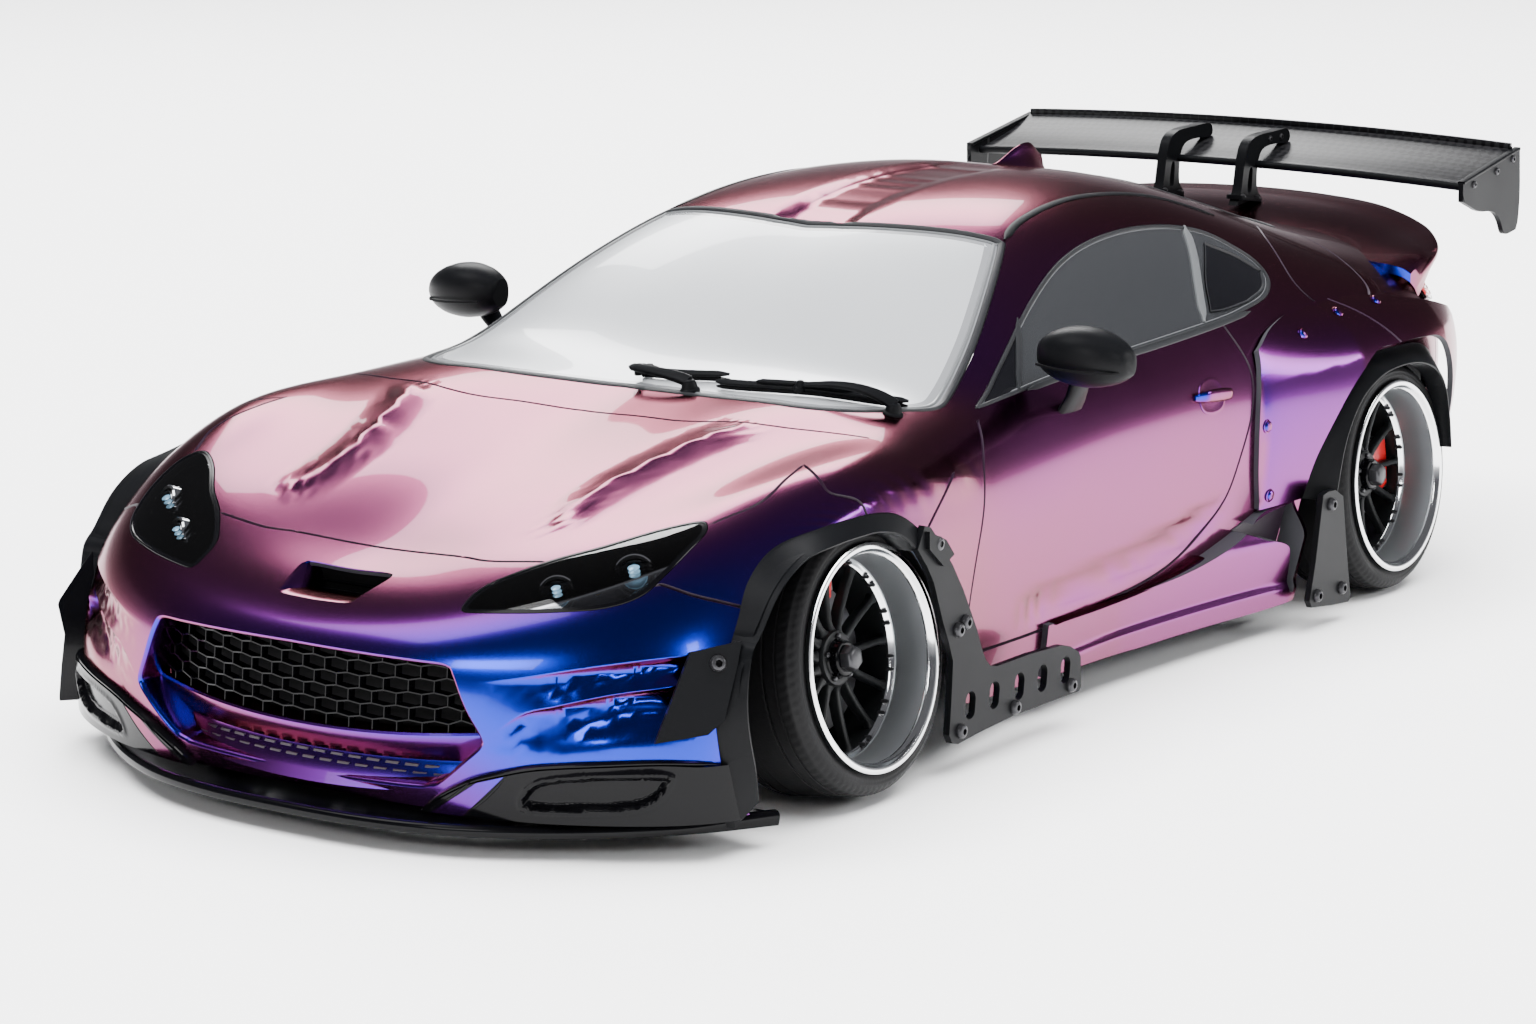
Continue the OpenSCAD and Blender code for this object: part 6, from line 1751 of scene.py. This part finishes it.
# rear diffuser
g = Mesh()
rows = []
for y, z0, z1 in ((166, 15.2, 17.2), (172, 16.2, 18.2), (186, 19.2, 21.2), (198, 22.8, 24.8),
    (206, 25.4, 27.2), (207.4, 26.2, 27.6)):
    rows.append(np.array([(-54, y, z0 + 2), (-52.8, y, z0), (52.8, y, z0), (54, y, z0 + 2), (54, y, z1 + 2),
        (51.5, y, z1), (-51.5, y, z1), (-54, y, z1 + 2)]))
solid(rows, g, 0)
for x in (-46, -27.6, -9.2, 9.2, 27.6, 46):
    poly = flow([(167, 15.6), (167, 15.6), (186, 19.8), (206.4, 26), (206.4, 26), (207, 18.6), (204, 15.4),
        (198, 13), (184, 10.6), (169, 9.8), (169, 9.8)], True, 1.5)
    plate(poly, 1.5, ((x - 0.75, 0, 0), (0, 1, 0), (0, 0, 1), (1, 0, 0)), g)
g.build("diffuser", [MAT["satin"]], nodes=["rear_diffuser"], slot="satin_black", bevel=0.2)

# ---------------------------------------------------------------- chassis under the shell
FINISH = {
    "chassis_plate": "carbon", "shock_towers": "carbon", "front_bulkhead": "nylon", "rear_gearbox": "nylon",
    "battery": "battery", "motor": "alloy", "electronics": "nylon",
    "steering_servo": "nylon", "body_posts": "nylon", "bumper_foam": "foam", "dampers": "gold",
    "servo_horn": "gold", "steering_rack": "alloy", "knuckle_l": "alloy", "knuckle_r": "alloy",
    "rear_axle": "alloy", "spur_gear": "gear", "pinion_gear": "brass",
}
for corner in ("fl", "fr", "rl", "rr"):
    FINISH.update({"lower_arm_" + corner: "nylon", "upper_arm_" + corner: "alloy",
        "carrier_" + corner: "alloy"})
for name, kind in FINISH.items():
    ob = frame["nodes"][name]
    ob.data.materials.clear()
    ob.data.materials.append(MAT[kind])
    edge = ob.modifiers.new("edge", "BEVEL")
    edge.width, edge.segments, edge.limit_method, edge.angle_limit = 0.00018, 2, "ANGLE", rad(40)


# ---------------------------------------------------------------- stage, light, camera
def floor():
    me = bpy.data.meshes.new("floor")
    r, n = 6.0, 48
    v = [(r * math.cos(2 * math.pi * k / n), r * math.sin(2 * math.pi * k / n), 0) for k in range(n)]
    me.from_pydata(v, [], [tuple(range(n))])
    ob = bpy.data.objects.new("floor", me)
    bpy.context.scene.collection.objects.link(ob)
    m, t, s = shader("floor_white", (0.93, 0.93, 0.935), 0.75)
    vary(t, s, "Roughness", 8, 0.7, 0.8)
    me.materials.append(m)


def area(name, at, aim, size, power, color=(1, 1, 1), spread=180):
    l = bpy.data.lights.new(name, "AREA")
    l.shape, l.size, l.size_y, l.energy, l.color = "RECTANGLE", size[0], size[1], power, color
    l.spread = rad(spread)
    ob = bpy.data.objects.new(name, l)
    ob.location = at
    ob.rotation_euler = (Vector(aim) - Vector(at)).to_track_quat("-Z", "Y").to_euler()
    bpy.context.scene.collection.objects.link(ob)
    ob.visible_camera = False
    return ob


def world():
    w = bpy.data.worlds.new("studio")
    bpy.context.scene.world = w
    w.use_nodes = True
    t = w.node_tree
    bg = t.nodes["Background"]
    path = node(t, "ShaderNodeLightPath")
    c = node(t, "ShaderNodeTexCoord")
    xyz = node(t, "ShaderNodeSeparateXYZ")
    t.links.new(c.outputs["Generated"], xyz.inputs["Vector"])
    sky = ramp(t, xyz.outputs["Z"], [(0.0, (0.7, 0.7, 0.72)), (0.1, (0.34, 0.34, 0.36)),
        (0.25, (0.09, 0.09, 0.1)), (0.9, (0.12, 0.12, 0.13))])
    mix = node(t, "ShaderNodeMix", data_type="RGBA")
    t.links.new(path.outputs["Is Camera Ray"], mix.inputs["Factor"])
    t.links.new(sky.outputs["Color"], mix.inputs["A"])
    mix.inputs["B"].default_value = (5.5, 5.5, 5.5, 1)
    t.links.new(mix.outputs["Result"], bg.inputs["Color"])
    bg.inputs["Strength"].default_value = 1.0


def camera():
    c = bpy.data.cameras.new("camera")
    c.sensor_width, c.lens = 36.0, 101.65
    c.clip_start, c.clip_end = 0.05, 50
    ob = bpy.data.objects.new("camera", c)
    at = (Vector((611.71, -915.96, 264.76)) + Vector(SHIFT)) / 1000
    to = (Vector((62.7, -123.9, 62.5)) + Vector(SHIFT)) / 1000
    look = (to - at).to_track_quat("-Z", "Y").to_matrix().to_4x4()
    ob.matrix_world = Matrix.Translation(at) @ look @ Matrix.Rotation(rad(-0.21), 4, "Z")
    bpy.context.scene.collection.objects.link(ob)
    bpy.context.scene.camera = ob


floor()
world()
area("key_back", (-1.05, 1.22, 1.12), (0, -0.1, 0.06), (0.9, 0.5), 22)
area("left", (2.0, 1.15, 0.95), (0.05, 0, 0.05), (1.3, 0.5), 26)
area("screen_sky", (-0.75, -0.7, 1.75), (0, 0, 0.08), (0.9, 0.9), 14)
area("corner", (1.35, -0.75, 0.75), (0.05, -0.15, 0.04), (0.16, 0.5), 5)
area("front", (0.12, -1.7, 0.78), (0, -0.19, 0.05), (0.6, 0.3), 9)
fill = area("fill", (0.0, 0.2, 3.2), (0, 0, 0), (4.5, 4.5), 820)
fill.visible_glossy = False
camera()
